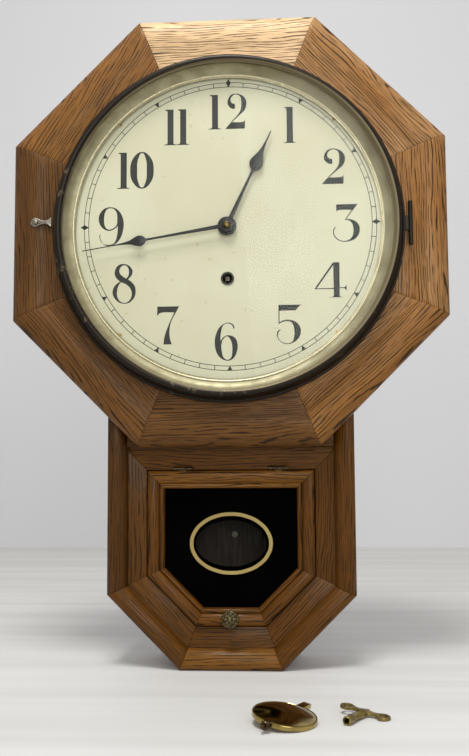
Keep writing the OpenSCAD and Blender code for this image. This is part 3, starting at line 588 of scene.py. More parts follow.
def enamel(name, colour, patchy, rough):
    """Old paint: its colour clouds a little, and its gloss is worn."""
    coat = Finish(name)
    clouds = coat.noise(coat.spot(), 30, 3)
    worn = coat.noise(coat.spot(), 400, 2).step(0.45, 0.75)
    mixed = (clouds.step(0.3, 0.75) * 0.8 + worn * 0.2).mix(colour, patchy)
    return coat.surface(mixed, rough + worn * 0.15, coat.relief(worn, 0.00003))


lacquer = Finish("tablet black")
clouds = lacquer.noise(lacquer.spot(), 30, 3)
colour = clouds.step(0.3, 0.75).mix(paint(3, 3, 3), paint(6, 5, 5))
tablet_black = lacquer.surface(colour, 0.5 + clouds * 0.1, None, gloss={"Specular IOR Level": 0.0})
tablet_gold = enamel("tablet gold", paint(182, 150, 90), paint(162, 130, 76), 0.4)
oval_z = 122
window = oval(35.4, 22.75)
ring_outside = oval(41.5, 30.75)
ring_inside = oval(37.9, 27.3)
corners = [(p.x, p.y - oval_z, C) for p in inward(glass_outline, 0.3)]
film = cut([corners, window], 0.06)
piece("tablet_black_paint", film, tablet_black, "tablet", "door",
      at=front(0, tablet_back + 0.02, oval_z))
ring = cut([ring_outside, ring_inside], 0.05, fineness=10)
piece("tablet_gold_ring", ring, tablet_gold, "gold_ring", "door",
      at=front(0, tablet_back + 0.1, oval_z))


# Hanger plate, turn button, case screws and door hinges: the plate and the button are pressed
# from steel, the screws are turned, and the hinges are folded from sheet brass. All are screwed
# on or driven in, and have gone dark.
def metal(name, bright, dull, rough, patch=60.0):
    """Bare or lacquered metal that has dulled in patches, with fine polishing marks."""
    face = Finish(name)
    spot = face.spot()
    patches = face.noise(spot, patch, 3, 0.6).step(0.35, 0.7)
    marks = face.noise(spot, (1800, 1800, 300), 2)
    rough = rough + patches * 0.16 + (marks - 0.5) * 0.12
    return face.surface(patches.mix(bright, dull), rough, face.relief(marks, 0.00002), 1.0)


steel = metal("dark steel", paint(96, 90, 84), paint(58, 52, 46), 0.38)
dark_brass = metal("dark brass", paint(90, 76, 54), paint(48, 39, 28), 0.36, 300)
brass = metal("brass", paint(188, 158, 96), paint(132, 108, 62), 0.3)
nickel = metal("nickel", paint(160, 152, 138), paint(96, 88, 74), 0.32, 250)
refinish(steel, "hanger_plate", "case_screws", "turn_button")
refinish(dark_brass, "door_hinge_fixed", "door_hinge_moving")

# Door knob: a cast brass rosette on a shaft. Eight petals stand round a small boss inside a
# raised rim; years of handling have left the hollows nearly black.


def spun(profile, steps):
    """A section turned round its axis. A point is a radius and a height, in millimetres."""
    bm = bmesh.new()
    verts = [bm.verts.new((r, 0, h)) for r, h in profile]
    back_to = verts[:1] if profile[0][0] > 0 else []
    edges = [bm.edges.new(pair) for pair in zip(verts, verts[1:] + back_to)]
    bmesh.ops.spin(bm, geom=verts + edges, axis=(0, 0, 1), cent=(0, 0, 0), steps=steps,
                   angle=2 * math.pi, use_merge=True)
    bmesh.ops.remove_doubles(bm, verts=bm.verts, dist=0.0005)
    return bm


low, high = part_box("door_knob")
knob_r = (high.x - low.x) / 2 / MM
knob_z = (high.z + low.z) / 2 / MM
knob_back = depths("door_knob")[0]
neck_d = 76.3
profile = [(0, 0), (4.6, 0), (5, 0.4), (5, 1.4), (3.6, 2.6), (3.3, 4.5), (3.5, 6.6), (6.4, 7.6),
           (8.3, 8.6), (knob_r, 10), (8.5, 11.4), (7.8, 12.2), (7.0, 12.3), (6.5, 11.7),
           (5.6, 11.9), (4.6, 12.6), (3.6, 12.7), (2.9, 12.2), (2.4, 12.6), (1.6, 13.6),
           (0.8, 13.95), (0, 14)]
petals = 8
knob = spun(profile, 96)
for vert in knob.verts:
    radius = math.hypot(vert.co.x, vert.co.y)
    turn = math.atan2(vert.co.y, vert.co.x)
    if 3 < radius < 6.4 and vert.co.z > 9:
        vert.co.z += 0.55 * math.cos(petals * turn) - 0.25
    elif radius > 7.4 and vert.co.z > 11:
        vert.co.z += 0.22 * math.cos(3 * petals * turn)
rod_end = knob_back - neck_d
rod = spun([(0, rod_end), (1.7, rod_end), (2, rod_end + 0.3), (2, 0.3), (0, 0.3)], 32)
rosette = Finish("cast knob brass")
cast = rosette.noise(rosette.spot(), 420, 3)
hollow = cast.step(0.4, 0.65)
colour = hollow.mix(paint(60, 53, 36), paint(112, 101, 68))
knob_brass = rosette.surface(colour, 0.36 + cast * 0.2, rosette.relief(cast, 0.0003), 0.9)
for name, shape in (("knob_rosette", knob), ("knob_shaft", rod)):
    piece(name, shape, knob_brass, "dark_brass", "knob", "door_knob",
          at=front(0, neck_d, knob_z))

# Dial: a painted zinc plate, 305 mm across, with four brass screws and a lined winding hole. The
# cream paint has yellowed in soft clouds and carries a few specks.
cream = Finish("dial cream")
spot = cream.spot()
clouds = cream.noise(spot, 11, 3)
specks = cream.noise(spot, 190, 1).step(0.73, 0.78)
colour = clouds.step(0.3, 0.7).mix(paint(209, 204, 182), paint(201, 195, 171))
colour = (specks * 0.5).mix(colour, paint(172, 160, 126))
relief = cream.relief(cream.noise(spot, 500, 2), 0.00002)
dial_paint = cream.surface(colour, 0.42 + clouds * 0.1, relief)
refinish(dial_paint, "dial_plate")
refinish(brass, "dial_screws")

# Dial printing: two fine circles with a stroke for every minute between them, a wedge at each
# hour, and a lozenge at twelve, three and nine. It is charcoal ink, and each mark stands a
# hair's breadth above the paint.
dial_front = depths("dial_plate")[1]
ink_t = 0.05
ring_out = 145.0
ring_in = 140.6
ring_x = 1.9
ring_z = dial_z + 2.2
line_w = 0.65
stroke_w = 0.35
wedge_w = 2.4
lozenge_w = 2.5
lozenge_h = 4.2
printed = bmesh.new()


def print_on(bm, at):
    """Puts one mark in its place on the dial, among the others."""
    bm.transform(at)
    mesh = mesh_of("mark", bm)
    printed.from_mesh(mesh)
    bpy.data.meshes.remove(mesh)


for radius in (ring_in, ring_out):
    line = [(radius, 0), (radius + line_w, 0), (radius + line_w, ink_t), (radius, ink_t)]
    print_on(spun(line, 180), front(ring_x, dial_front, ring_z))
for minute in range(60):
    at = front(ring_x, dial_front, ring_z, 6 * minute)
    point = ring_in - 0.2
    foot = ring_in + line_w
    if minute in (0, 15, 45):
        mark = [(0, ring_out + lozenge_h), (lozenge_w, ring_out), (0, point),
                (-lozenge_w, ring_out)]
    elif minute % 5 == 0:
        mark = [(-wedge_w, ring_out), (0, point), (wedge_w, ring_out)]
    else:
        mark = [(-stroke_w, foot), (stroke_w, foot), (stroke_w, ring_out), (-stroke_w, ring_out)]
    mark = [(*corner, C) for corner in mark]
    print_on(cut([mark], ink_t, fineness=1), at)

# Numerals: printed on the dial in the same ink. Each digit is drawn 100 high from its own left
# edge and foot, and is placed by its left edge and foot from the dial's centre, its width and its
# height.
digits = {
    "0": [[(31.8, 100), (54.3, 85), (63.6, 50), (54.3, 15), (31.8, 0), (9.3, 15), (0, 50),
      (9.3, 85)],
     [(32.2, 96.6), (41, 84), (44.6, 50), (41, 16), (31.4, 3.4), (22.4, 16), (18.8, 50),
      (22.6, 84)]],
    "1": [[(0, 0, C), (33.3, 0, C), (33.3, 2.2, C), (27, 3), (25.8, 6, C), (25.8, 100, C),
      (3.3, 100, C), (3.3, 97.6, C), (9.2, 95, C), (9.2, 6, C), (7, 3), (0, 2.2, C)]],
    "2": [[(0, 0, C), (19, 20.3), (37.8, 39.6), (46, 50.6), (49.2, 65.4), (49.2, 76.4),
      (47, 89.3), (39.6, 95.8), (31.3, 97.6), (22, 93), (16.6, 83.8), (17.5, 77.3), (22, 72.4),
      (29.5, 70.9, C), (30.8, 57, C), (22, 57), (12.9, 62.6), (7.4, 71.8), (7.4, 79.2),
      (12, 90.2), (20.3, 97.6), (32.2, 100), (45, 97.6), (56.2, 91.2), (63.5, 81), (65.4, 71.8),
      (63.5, 60.8), (58, 50.6), (47, 41.4), (34, 30.4), (20.5, 19, C), (52.5, 19), (57.5, 21),
      (60.8, 27.6, C), (59.8, 0, C)]],
    "3": [[(9.3, 100, C), (65.8, 100, C), (53.9, 85.1), (34.6, 59.3, C), (46.5, 59.6),
      (58.8, 54.4), (67.5, 44.7), (70.2, 32.5), (67.5, 20.2), (60.5, 9.6), (50, 3.3), (29, 0),
      (14.9, 3.5), (4.4, 13.2), (0, 24.6), (1.8, 34.2), (7, 40.4, C), (8.8, 39.1, C), (3.8, 32.5),
      (2.6, 23.7), (6.8, 14.6), (15.8, 6), (29, 2.4), (41.2, 5.3), (49.1, 12.3), (52.6, 21.9),
      (53.5, 34.2), (50.9, 46.5), (44.7, 55), (36, 57.4), (30.2, 57.3, C), (50, 84.7, C),
      (15, 84.4), (11.8, 82.5), (10, 77.2, C)]],
    "4": [[(52, 100, C), (70.2, 100, C), (69.7, 28.9, C), (81.5, 28.4), (86.6, 31),
      (89.3, 35.9, C), (89.8, 16.8, C), (86.8, 22.5), (81.5, 25.3), (69.7, 25.6, C),
      (69.7, 4.5, C), (71.5, 2.2), (78.9, 1.6, C), (78.9, 0, C), (42.5, 0, C), (42.5, 1.6, C),
      (50.5, 2.2), (53, 4.5, C), (53, 23.9, C), (0, 23.9, C), (0, 26, C)],
     [(52.6, 92, C), (53, 26.8, C), (5.6, 26.5, C)]],
    "5": [[(4.8, 100, C), (63.7, 100, C), (58.4, 97), (53.1, 91.7), (48.6, 85.7, C), (7.5, 85, C),
      (7.2, 55.6, C), (15.4, 59.9), (25.9, 62), (39.5, 60.4), (50.1, 54.8), (57.6, 45.7),
      (60.6, 33.6), (58.4, 21.6), (51.6, 11), (42.5, 4.2), (27.5, 0), (15.4, 2), (6.3, 9.5),
      (0.6, 20.1), (0.6, 28.8), (4.5, 35.4), (9, 37.7, C), (9.8, 36.2, C), (5.1, 30.9),
      (2.7, 23.1), (5.1, 14), (12.4, 5.7), (21.4, 2.4), (32, 2.7), (38.8, 6.5), (42.5, 14),
      (44.3, 24.6), (44, 36.7), (41.8, 47.2), (36.5, 55.5), (29, 58.1), (18.4, 57.2),
      (10.9, 54.3), (4.8, 51, C)]],
    "6": [[(52.3, 84.8, C), (50, 92.7), (43, 98.4), (32.8, 100), (21.9, 95.8), (11.7, 86.4),
      (4.7, 73.1), (0.8, 59), (0, 46.6), (1.6, 32.5), (5.5, 20), (12.5, 9.8), (21.9, 2.8),
      (32.8, 0), (43, 2), (52.3, 10.6), (57.8, 23.1), (60.2, 37.2), (58.6, 49.7), (53.9, 59.1),
      (46.1, 64.5), (33.6, 66.6), (25.8, 63.8), (19.5, 58.3), (15.8, 51.6, C), (15.2, 59.1),
      (15.8, 70), (17.7, 80.9), (20.8, 90.3), (25.8, 95.9), (32.8, 98), (41.4, 96.1),
      (46.9, 91.1), (49.2, 83.8, C)],
     [(32.8, 63.8), (21.9, 55.9), (18, 46.6), (17.2, 37.2), (18.8, 23.1), (21.9, 10.6),
      (27.3, 4.4), (32.8, 2.5), (39.1, 4.4), (43.8, 10.6), (45.8, 23.1), (45.8, 38.8), (43, 51.3),
      (38.3, 59.8)]],
    "7": [[(0.5, 100, C), (57.7, 100, C), (49.8, 85), (40.3, 67.6), (34.8, 53.4), (32.7, 39.2),
      (32.4, 26.5), (34, 13.9), (38.7, 0, C), (16.9, 0, C), (18.2, 13.9), (21.6, 28.1),
      (26.1, 40.8), (32.4, 56.6), (39.5, 72.4), (45, 84.2, C), (10.5, 83.6), (5.5, 81.5),
      (2.2, 76.3, C), (0, 77, C)]],
    "8": [[(27.7, 100), (37.7, 97.4), (46.4, 89.6), (49.8, 81), (48.1, 72.3), (42, 64.5),
      (38.6, 61, C), (46.4, 55), (55, 44.6), (57.6, 32.5), (55.9, 18.7), (49, 8.3), (39.4, 1.4),
      (29.9, 0), (18.7, 2.2), (8.3, 10), (1.7, 20.4), (0, 30.8), (3.1, 41.2), (10, 49.8),
      (18.6, 55.9, C), (10, 63.7), (5.7, 72.3), (5.4, 81), (9.2, 91.3), (17, 98.3)],
     [(28.2, 96.8), (21.3, 93.1), (17, 85.3), (17.8, 77.5), (23, 70.6), (34.3, 63.1, C),
      (39.4, 70.6), (40.7, 81), (37.7, 91.3), (32.5, 96)],
     [(20.8, 54.4, C), (14.4, 44.6), (11.4, 32.5), (11.8, 18.7), (17, 8.3), (25.6, 2.8),
      (34.3, 2.8), (42.9, 9.2), (47.4, 18.7), (47.6, 29.1), (43.4, 39.4), (34, 48.4)]],
    "9": [[(4.5, 30, C), (4.2, 20.9), (7.3, 11.8), (13.6, 4.5), (20.9, 2.4), (30, 2.2),
      (38.2, 4.9), (43.6, 11.8), (47.3, 24.5), (49.1, 39.1), (49.5, 50.9, C), (44.5, 45.5),
      (35.5, 40.2), (25.5, 38.5), (15.5, 41.8), (6.4, 50), (1.3, 60.9), (0, 71.8), (3.6, 84.5),
      (11.8, 94.5), (20.9, 99.1), (31.8, 100), (44.5, 96.4), (54.5, 87.3), (61.8, 73.6),
      (64.9, 57.3), (63.6, 40.9), (59.1, 24.5), (51.8, 11.8), (40.9, 2.7), (29, 0), (19, 0),
      (10, 6.4), (3.6, 15.5), (2.2, 24.5), (3.2, 30.4, C)],
     [(31.8, 97.3), (22.7, 95.5), (16.4, 86.4), (14.2, 73.6), (14.2, 60.9), (17.3, 48.6),
      (25.5, 41.8), (33.6, 43), (42.7, 48.4), (47.2, 55.5), (48, 68.2), (47, 82.7), (42.7, 91.8),
      (36.4, 96.4)]],
}
numerals = [
    ("1", -18.8, 98.0, 12.0, 35.6), ("2", -2.2, 98.0, 21.4, 36.4), ("1", 55.7, 82.0, 12.4, 37.0),
    ("2", 93.0, 39.2, 23.5, 36.0), ("3", 103.4, -19.1, 26.4, 37.6),
    ("4", 84.9, -74.2, 31.2, 34.8), ("5", 47.2, -119.6, 24.8, 38.8),
    ("6", -13.7, -135.2, 22.6, 37.6), ("7", -70.7, -118.4, 21.9, 37.8),
    ("8", -115.3, -77.2, 23.1, 40.0), ("9", -129.7, -18.3, 25.3, 39.0),
    ("1", -111.2, 39.3, 12.4, 37.2), ("0", -98.1, 39.0, 23.8, 37.8),
    ("1", -63.8, 82.9, 12.2, 36.8), ("1", -51.0, 82.9, 12.2, 36.8),
]
numerals_x = 0.8
numerals_up = 1.7
for digit, left, foot, width, height in numerals:
    wide = max(p[0] for p in digits[digit][0])
    sized = []
    for loop in digits[digit]:
        sized.append([(x * width / wide, z * height / 100, *rest) for x, z, *rest in loop])
    at = front(left + numerals_x, dial_front, dial_z + foot + numerals_up)
    print_on(cut(sized, ink_t, fineness=5), at)
ink = enamel("printing ink", paint(30, 30, 29), paint(44, 43, 40), 0.5)
piece("dial_printing", printed, ink, "hand_black", "case", turn=60)

# Bezel: a rim spun from sheet brass and japanned black. A small bead runs round its foot, and a
# hollow slope climbs to a rounded crown next to the glass. The black has rubbed thin in places,
# and is gone from the slope inside the crown.
low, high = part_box("bezel_rim")
bezel_r = (high.x - low.x) / 2 / MM
rim_back, rim_front = depths("bezel_rim")
glass_back, glass_front = depths("dial_glass")
crown_x = bezel_r - 8.2
crown_d = rim_front - 3.7


def rim_points(depth, *steps):
    """Points of the rim's section, in from its outer edge and up from a depth."""
    return [(bezel_r - inwards, depth + up) for inwards, up in steps]


profile = rim_points(rim_back, (0, 0), (0, 2.6))
profile += arc(bezel_r - 1.2, rim_back + 3.4, 1.2, 1.2, 0, 110, 6)
profile += rim_points(rim_back, (2.4, 5.2), (3, 7.4), (3.9, 10))
profile += arc(crown_x, crown_d, 3.6, 3.68, -25, 140, 16)
profile += rim_points(glass_front, (11.3, 1.5), (12.3, 1.1), (12.3, hair), (11, hair))
profile += rim_points(rim_back, (11, 0), (10.2, 0)) + rim_points(glass_front, (10.2, 0.6))
profile += arc(crown_x, crown_d, 2.8, 2.9, 130, -15, 10)
profile += rim_points(rim_back, (4.8, 9.8), (3.8, 7.2), (3.1, 4.9), (0.8, 3.6), (0.8, 0))
rim = spun(profile, 144)
on_dial = front(0, 0, dial_z)
japan = Finish("japanned brass")
spot = japan.spot()
rubbed = japan.noise(spot, 70, 4, 0.65).step(0.60, 0.72)
lines = japan.noise(spot, (25, 900, 25), 2)


def from_centre(finish, spot, sideways=0):
    """How far a point lies from the middle of the dial, in metres."""
    middle = (-sideways * MM, 0, -dial_z * MM)
    centred = finish.node("ShaderNodeMapping", {}, {"Vector": spot, "Location": middle})
    across = finish.axis(centred, "X")
    up = finish.axis(centred, "Z")
    return finish.math("SQRT", across * across + up * up)


bare = 1.0 - from_centre(japan, spot, 2.2).step((crown_x - 2.4) * MM, (crown_x - 1.4) * MM)
worn = japan.math("MAXIMUM", rubbed * 0.6, bare)
colour = worn.mix(paint(20, 15, 9), paint(112, 102, 78))
rough = 0.34 + lines * 0.12 + worn * 0.1
gloss = {"Specular IOR Level": 0.2, "Specular Tint": (1, 0.86, 0.7, 1),
         "Coat Weight": 0.06, "Coat Roughness": 0.12}
black_brass = japan.surface(colour, rough, japan.relief(lines, 0.0001), worn * 0.6, gloss)
piece("bezel_rim_spun", rim, black_brass, "black_brass", "bezel", "bezel_rim", at=on_dial)
refinish(black_brass, "bezel_hinge_fixed", "bezel_hinge_moving")

# Sight ring: a coved ring of gilt brass between the glass and the dial. Its inner edge is rolled
# into a small bead, whose pale band is a painted highlight, and the cove has tarnished to a dull
# olive gold.
ring_back, ring_front = depths("sight_ring")
inside_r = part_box("sight_ring")[1].x / MM - 12.2
lip_r = inside_r + 1.6
cove = arc(inside_r, ring_front, 12.15, ring_front - ring_back, 0, -82, 12)
cove += [(inside_r, ring_back), (inside_r, ring_back + 0.5), (lip_r, ring_back + 0.6)]
cove += arc(lip_r + 0.9, ring_back + 1, 0.9, 0.9, -160, -360, 10)
cove += arc(inside_r, ring_front, 11.4, ring_front - ring_back - 0.75, -64, 0, 10)
cove = spun(cove, 144)
gilt = Finish("tarnished gilt with painted highlight")
spot = gilt.spot()
radius = from_centre(gilt, spot)
lip = radius.step((lip_r - 0.3) * MM, (lip_r + 0.1) * MM)
band = radius.step((lip_r + 1.5) * MM, (lip_r + 2.1) * MM)
# A painted highlight: the band over the bead is coloured pale, in place of the light it catches.
bead_highlight = lip * (1.0 - band)
stain = gilt.noise(spot, 45, 4, 0.6).step(0.3, 0.7)
tarnish = stain.mix(paint(166, 157, 130), paint(134, 124, 96))
colour = bead_highlight.mix(tarnish, paint(222, 210, 180))
relief = gilt.relief(gilt.noise(spot, 900, 2), 0.00002)
gilt_brass = gilt.surface(colour, 0.22 + band * 0.2 + stain * 0.08, relief, 0.55)
piece("sight_ring_cove", cove, gilt_brass, "dark_brass", "bezel", "sight_ring", at=on_dial)

# Dial glass: a flat clear glass with its edge ground round. It lies in the rim, behind the rim's
# lip, and the sight ring holds it there.
glass_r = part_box("dial_glass")[1].x / MM
edge = 0.3
pane = spun([(0, glass_back), (glass_r - edge, glass_back), (glass_r, glass_back + edge),
             (glass_r, glass_front - edge), (glass_r - edge, glass_front), (0, glass_front)], 96)
clear_glass = glass("dial glass", (0.97, 0.98, 0.96, 1), 0.12)
piece("dial_pane", pane, clear_glass, "dial_glass", "bezel", "dial_glass", at=on_dial)

# Latch: a cast lever of nickelled brass. It turns on a slotted screw in the octagon's left stick,
# and its broad end laps over the rim.
latch_low, latch_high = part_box("bezel_latch")
latch_back, latch_front = depths("bezel_latch")
latch_x = latch_low.x / MM + 4.6
latch_z = (latch_low.z + latch_high.z) / 2 / MM
reach = latch_high.x / MM - latch_x
upper = [(reach, 5, C), (reach - 2, 3.6), (reach - 5, 2.1), (6.5, 2.2), (4.1, 3.3), (1.6, 4.4),
         (-1.4, 4.4), (-4, 2.4)]
lower = [(x, -y, *rest) for x, y, *rest in upper]
lever = lower[:1] + upper + [(-4.6, 0)] + lower[:0:-1]
lever = cut([lever, oval(1.9, 1.9, steps=12)], latch_front - latch_back, 0.35)
piece("latch_lever", lever, nickel, "nickel", "latch", "bezel_latch",
      at=front(latch_x, latch_back, latch_z))
head_r = 3
head_t = 1.4
shank_r = 1.5
shank_l = 10
slot_half = 0.4
slot_floor = max(0.25, head_t * 0.35)
screw = spun([(0, -shank_l), (shank_r * 0.4, -shank_l), (shank_r, -shank_l + 1.5), (shank_r, 0),
              (head_r - 0.2, 0), (head_r, 0.2), (head_r * 0.9, head_t * 0.6),
              (head_r * 0.6, head_t * 0.92), (0, head_t)], 32)
for side in (-1, 1):
    bmesh.ops.bisect_plane(screw, geom=screw.verts[:] + screw.edges[:] + screw.faces[:],
                           plane_co=(0, side * slot_half, 0), plane_no=(0, 1, 0), dist=0.0001)
groove = []
for face in screw.faces:
    middle = face.calc_center_median()
    if middle.z > 0.3 and abs(middle.y) < slot_half:
        groove.append(face)
sunk = bmesh.ops.extrude_face_region(screw, geom=groove)
bmesh.ops.delete(screw, geom=groove, context="FACES_ONLY")
for vert in new_parts(sunk):
    vert.co.z = slot_floor
piece("latch_screw_slotted", screw, nickel, "nickel", "case", "latch_screw",
      at=front(latch_x, depths("latch_screw")[1] - head_t, latch_z, 35))

# Hands: sawn from sheet steel, filed round at the edges and blacked. Each has a stem, a pear
# and a long point; a brass nut holds the minute hand on its square.


def hand(length, pear, pear_r, stem, neck, hub_r, bore_r, thick):
    """A hand that points at twelve."""
    root = math.sqrt(hub_r ** 2 - stem ** 2)
    right = [(stem, root, C), (neck, pear - pear_r * 1.6), (neck * 1.25, pear - pear_r * 1.15),
             (pear_r * 0.62, pear - pear_r * 0.85), (pear_r, pear),
             (pear_r * 0.84, pear + pear_r * 0.75), (pear_r * 0.42, pear + pear_r * 1.75),
             (neck * 1.05, pear + pear_r * 2.9), (0.45, length, C)]
    left = [(-p[0], *p[1:]) for p in reversed(right)]
    first = math.degrees(math.atan2(root, -stem))
    last = math.degrees(math.atan2(root, stem)) + 360
    hub = arc(0, 0, hub_r, hub_r, first, last, 14)[1:-1]
    return cut([right + left + hub, oval(bore_r, bore_r, steps=12)], thick, 0.22)


hand_black = enamel("blacked steel", paint(24, 23, 25), paint(40, 38, 38), 0.3)
refinish(hand_black, "winding_grommet")
for name, body, angle, sizes in (
        ("hour_hand", "hour_hand_group", 25, (105, 69, 6.6, 2.2, 1.3, 9.4, 4.4)),
        ("minute_hand", "minute_hand_group", 260.8, (146, 87.4, 5.4, 2, 1.1, 6.8, 2.6))):
    back, face = depths(name)
    piece(name + "_blacked", hand(*sizes, face - back), hand_black, "hand_black", body, name,
          at=front(0, back, dial_z, angle))
nut_back, nut_front = depths("hand_nut")
nut = spun([(1.55, nut_back), (3.7, nut_back), (4, nut_back + 0.3), (4, nut_back + 1),
            (3.3, nut_front - 0.25), (2.4, nut_front), (1.8, nut_front),
            (1.55, nut_front - 0.25)], 48)
piece("hand_nut_turned", nut, dark_brass, "brass", "minute_hand_group", "hand_nut", at=on_dial)

# Movement: brass plates held by turned pillars, brass wheels on steel arbors, a blued spring and
# a steel verge. The rod hangs in front of the backboard, and shows through the door's oval.
spring_steel = metal("spring steel", paint(96, 98, 108), paint(60, 62, 74), 0.25)
refinish(brass, "movement_plates", "pillars_and_nuts", "cannon_pinion", "hour_wheel",
         "motion_wheel", "great_wheel", "second_wheel", "centre_wheel", "third_wheel",
         "escape_wheel")
refinish(steel, "movement_feet", "winding_arbor", "click", "verge", "pendulum_rod")
refinish(spring_steel, "mainspring")

# Pendulum bob, taken off and laid in front of the clock: a lens of two domed brass sheets rolled
# together at the edge, with a flat sleeve for the rod above and a screw with a nut below.
bob_r = 26
bob_edge = 3
bob_dome = 3
lens_r = (bob_r ** 2 + bob_dome ** 2) / 2 / bob_dome
bob_low = lens_r - bob_dome - bob_edge / 2
lean = math.radians(9)
on_table = Matrix.Translation((53, -208, 0)) @ Matrix.Rotation(math.radians(60), 4, "Z")
tipped = (Matrix.Translation((0, -bob_low * math.sin(lean), lens_r))
          @ Matrix.Rotation(lean, 4, "X") @ Matrix.Translation((0, 0, -bob_low)))
on_bob = Matrix.Scale(MM, 4) @ on_table @ tipped
lift = bob_edge / 2 - lens_r + bob_dome
profile = []
for i in range(13):
    x = 24.3 * i / 12
    profile.append((x, math.sqrt(lens_r ** 2 - x ** 2) + lift))
profile += [(24.7, 1.75), (25, 2.0), (25.5, 1.95), (25.9, 1.5), (26, 0.8)]
profile += [(r, -h) for r, h in reversed(profile)]
lens = spun(profile, 128)
polished = Finish("bob brass")
spot = polished.spot()
stains = polished.noise(spot, 55, 4, 0.6).step(0.4, 0.75)
turned = polished.node("ShaderNodeMapping", {}, {"Vector": spot, "Rotation": (0, 0, 0.7)})
scuffs = polished.noise(turned, (90, 1500, 90), 2)
colour = stains.mix(paint(168, 148, 88), paint(120, 104, 58))
rough = 0.12 + stains * 0.12 + (scuffs - 0.5) * 0.08
bob_brass = polished.surface(colour, rough, polished.relief(scuffs, 0.00001), 1.0)
piece("bob_lens", lens, bob_brass, "bob_brass", "bob", "pendulum_bob", at=on_bob)
sleeve = bmesh.new()
bmesh.ops.create_cube(sleeve, size=1)
bmesh.ops.scale(sleeve, verts=sleeve.verts, vec=(13, 7, 4))
bmesh.ops.translate(sleeve, verts=sleeve.verts, vec=(bob_r - 2 + 6.5, 0, 0))
mouth = [max(sleeve.faces, key=lambda f: f.calc_center_median().x)]
bmesh.ops.inset_region(sleeve, faces=mouth, thickness=0.9)
deep = bmesh.ops.extrude_face_region(sleeve, geom=mouth)
bmesh.ops.delete(sleeve, geom=mouth, context="FACES_ONLY")
bmesh.ops.translate(sleeve, verts=new_parts(deep), vec=(-8, 0, 0))
soften(sleeve, 0.25)
piece("bob_sleeve", sleeve, bob_brass, "bob_brass", "bob", at=on_bob)
pitch = 0.9
thread = [(0, 0)]
for i in range(12):
    thread += [(1.0, i * pitch + 0.1), (1.2, i * pitch + 0.45), (1.2, i * pitch + 0.55)]
thread += [(1.0, 11.4), (0.8, 11.9), (0, 12)]
lying = Matrix.Rotation(math.pi / 2, 4, "Y")
piece("bob_screw", spun(thread, 24), dark_brass, "bob_brass", "bob",
      at=on_bob @ Matrix.Translation((-bob_r - 9, 0, 0)) @ lying)
nut = spun([(1.35, 0.2), (1.8, 0), (3.1, 0), (3.6, 0.6), (3.6, 3.4), (3.1, 4), (1.8, 4),
            (1.35, 3.8)], 48)
for vert in nut.verts:
    if math.hypot(vert.co.x, vert.co.y) > 3.5:
        turn = math.atan2(vert.co.y, vert.co.x)
        vert.co.xy = vert.co.xy * (0.985 - 0.015 * math.cos(24 * turn))
piece("rating_nut_knurled", nut, dark_brass, "bob_brass", "rating_nut_group", "rating_nut",
      at=on_bob @ Matrix.Translation((-bob_r - 5.2, 0, 0)) @ lying)

# Winding key, laid beside the bob: a cast brass wing with two eyes on a barrel with a square
# socket. It lies on its barrel and on the rim of one eye.
barrel_r = 3.6
barrel_l = 27
wing_t = 2.4
span = 32
eye_r = 6
roll = math.asin((barrel_r - wing_t / 2) / (span / 2 + eye_r))
on_key = (Matrix.Scale(MM, 4) @ Matrix.Translation((101, -212, barrel_r))
          @ Matrix.Rotation(math.radians(58), 4, "Z") @ Matrix.Rotation(roll, 4, "X"))
cast = Finish("key brass")
spot = cast.spot()
pitted = cast.noise(spot, 320, 3)
grime = cast.noise(spot, 90, 4, 0.6).step(0.35, 0.7)
colour = grime.mix(paint(150, 132, 74), paint(92, 78, 42))
key_brass = cast.surface(colour, 0.34 + grime * 0.18, cast.relief(pitted, 0.00012), 0.9)
socket_half = 2.15
socket_l = 18
barrel = bmesh.new()
outside = bmesh.ops.create_circle(barrel, cap_ends=False, radius=barrel_r - 0.3,
                                  segments=32)["verts"]
bmesh.ops.rotate(barrel, verts=outside, cent=(0, 0, 0),
                 matrix=Matrix.Rotation(math.pi / 32, 3, "Z"))
mouth = list({e for v in outside for e in v.link_edges})


def drawn_out(edges, height, radius=None):
    """The barrel's next ring: round, or square without a radius."""
    edges = new_parts(bmesh.ops.extrude_edge_only(barrel, edges=edges), bmesh.types.BMEdge)
    for vert in {v for e in edges for v in e.verts}:
        flat = vert.co.xy.normalized()
        flat *= radius or socket_half / max(abs(flat.x), abs(flat.y))
        vert.co = Vector((flat.x, flat.y, height))
    return edges


walls = mouth
for radius, height in ((barrel_r, 0.3), (barrel_r, 8), (barrel_r - 0.5, 8.8),
                       (barrel_r - 0.5, 20), (barrel_r, 21), (barrel_r, barrel_l - 1),
                       (barrel_r - 0.9, barrel_l)):
    walls = drawn_out(walls, height, radius)
bmesh.ops.holes_fill(barrel, edges=walls)
bmesh.ops.holes_fill(barrel, edges=drawn_out(drawn_out(mouth, 0), socket_l))
piece("key_barrel", barrel, key_brass, "key_brass", "key", "winding_key", at=on_key @ lying)
eye = span / 2
wing = [(-4.5, 3), (-0.5, 3.6), (1.2, 5.6), (1.6, 8), (0.6, eye - eye_r * 0.7),
        (-1.6, eye - 1.6), (-1.6, eye + 2.4), (1, eye + 5.2), (4, eye + eye_r),
        (7.2, eye + 5.1), (9.6, eye + 2.2), (9.8, eye - 1.8), (8, eye - eye_r * 0.75),
        (6.4, 8), (7, 4.5), (8.4, 1.8), (10.4, 0, C)]
wing = wing + [(x, -y, *rest) for x, y, *rest in reversed(wing[:-1])]
eyes = [oval(3.4, 3.4, 4, s * eye, 12) for s in (-1, 1)]
piece("key_wing", cut([wing, *eyes], wing_t, 0.5), key_brass, "key_brass", "key",
      at=on_key @ Matrix.Translation((barrel_l, 0, -wing_t / 2)))

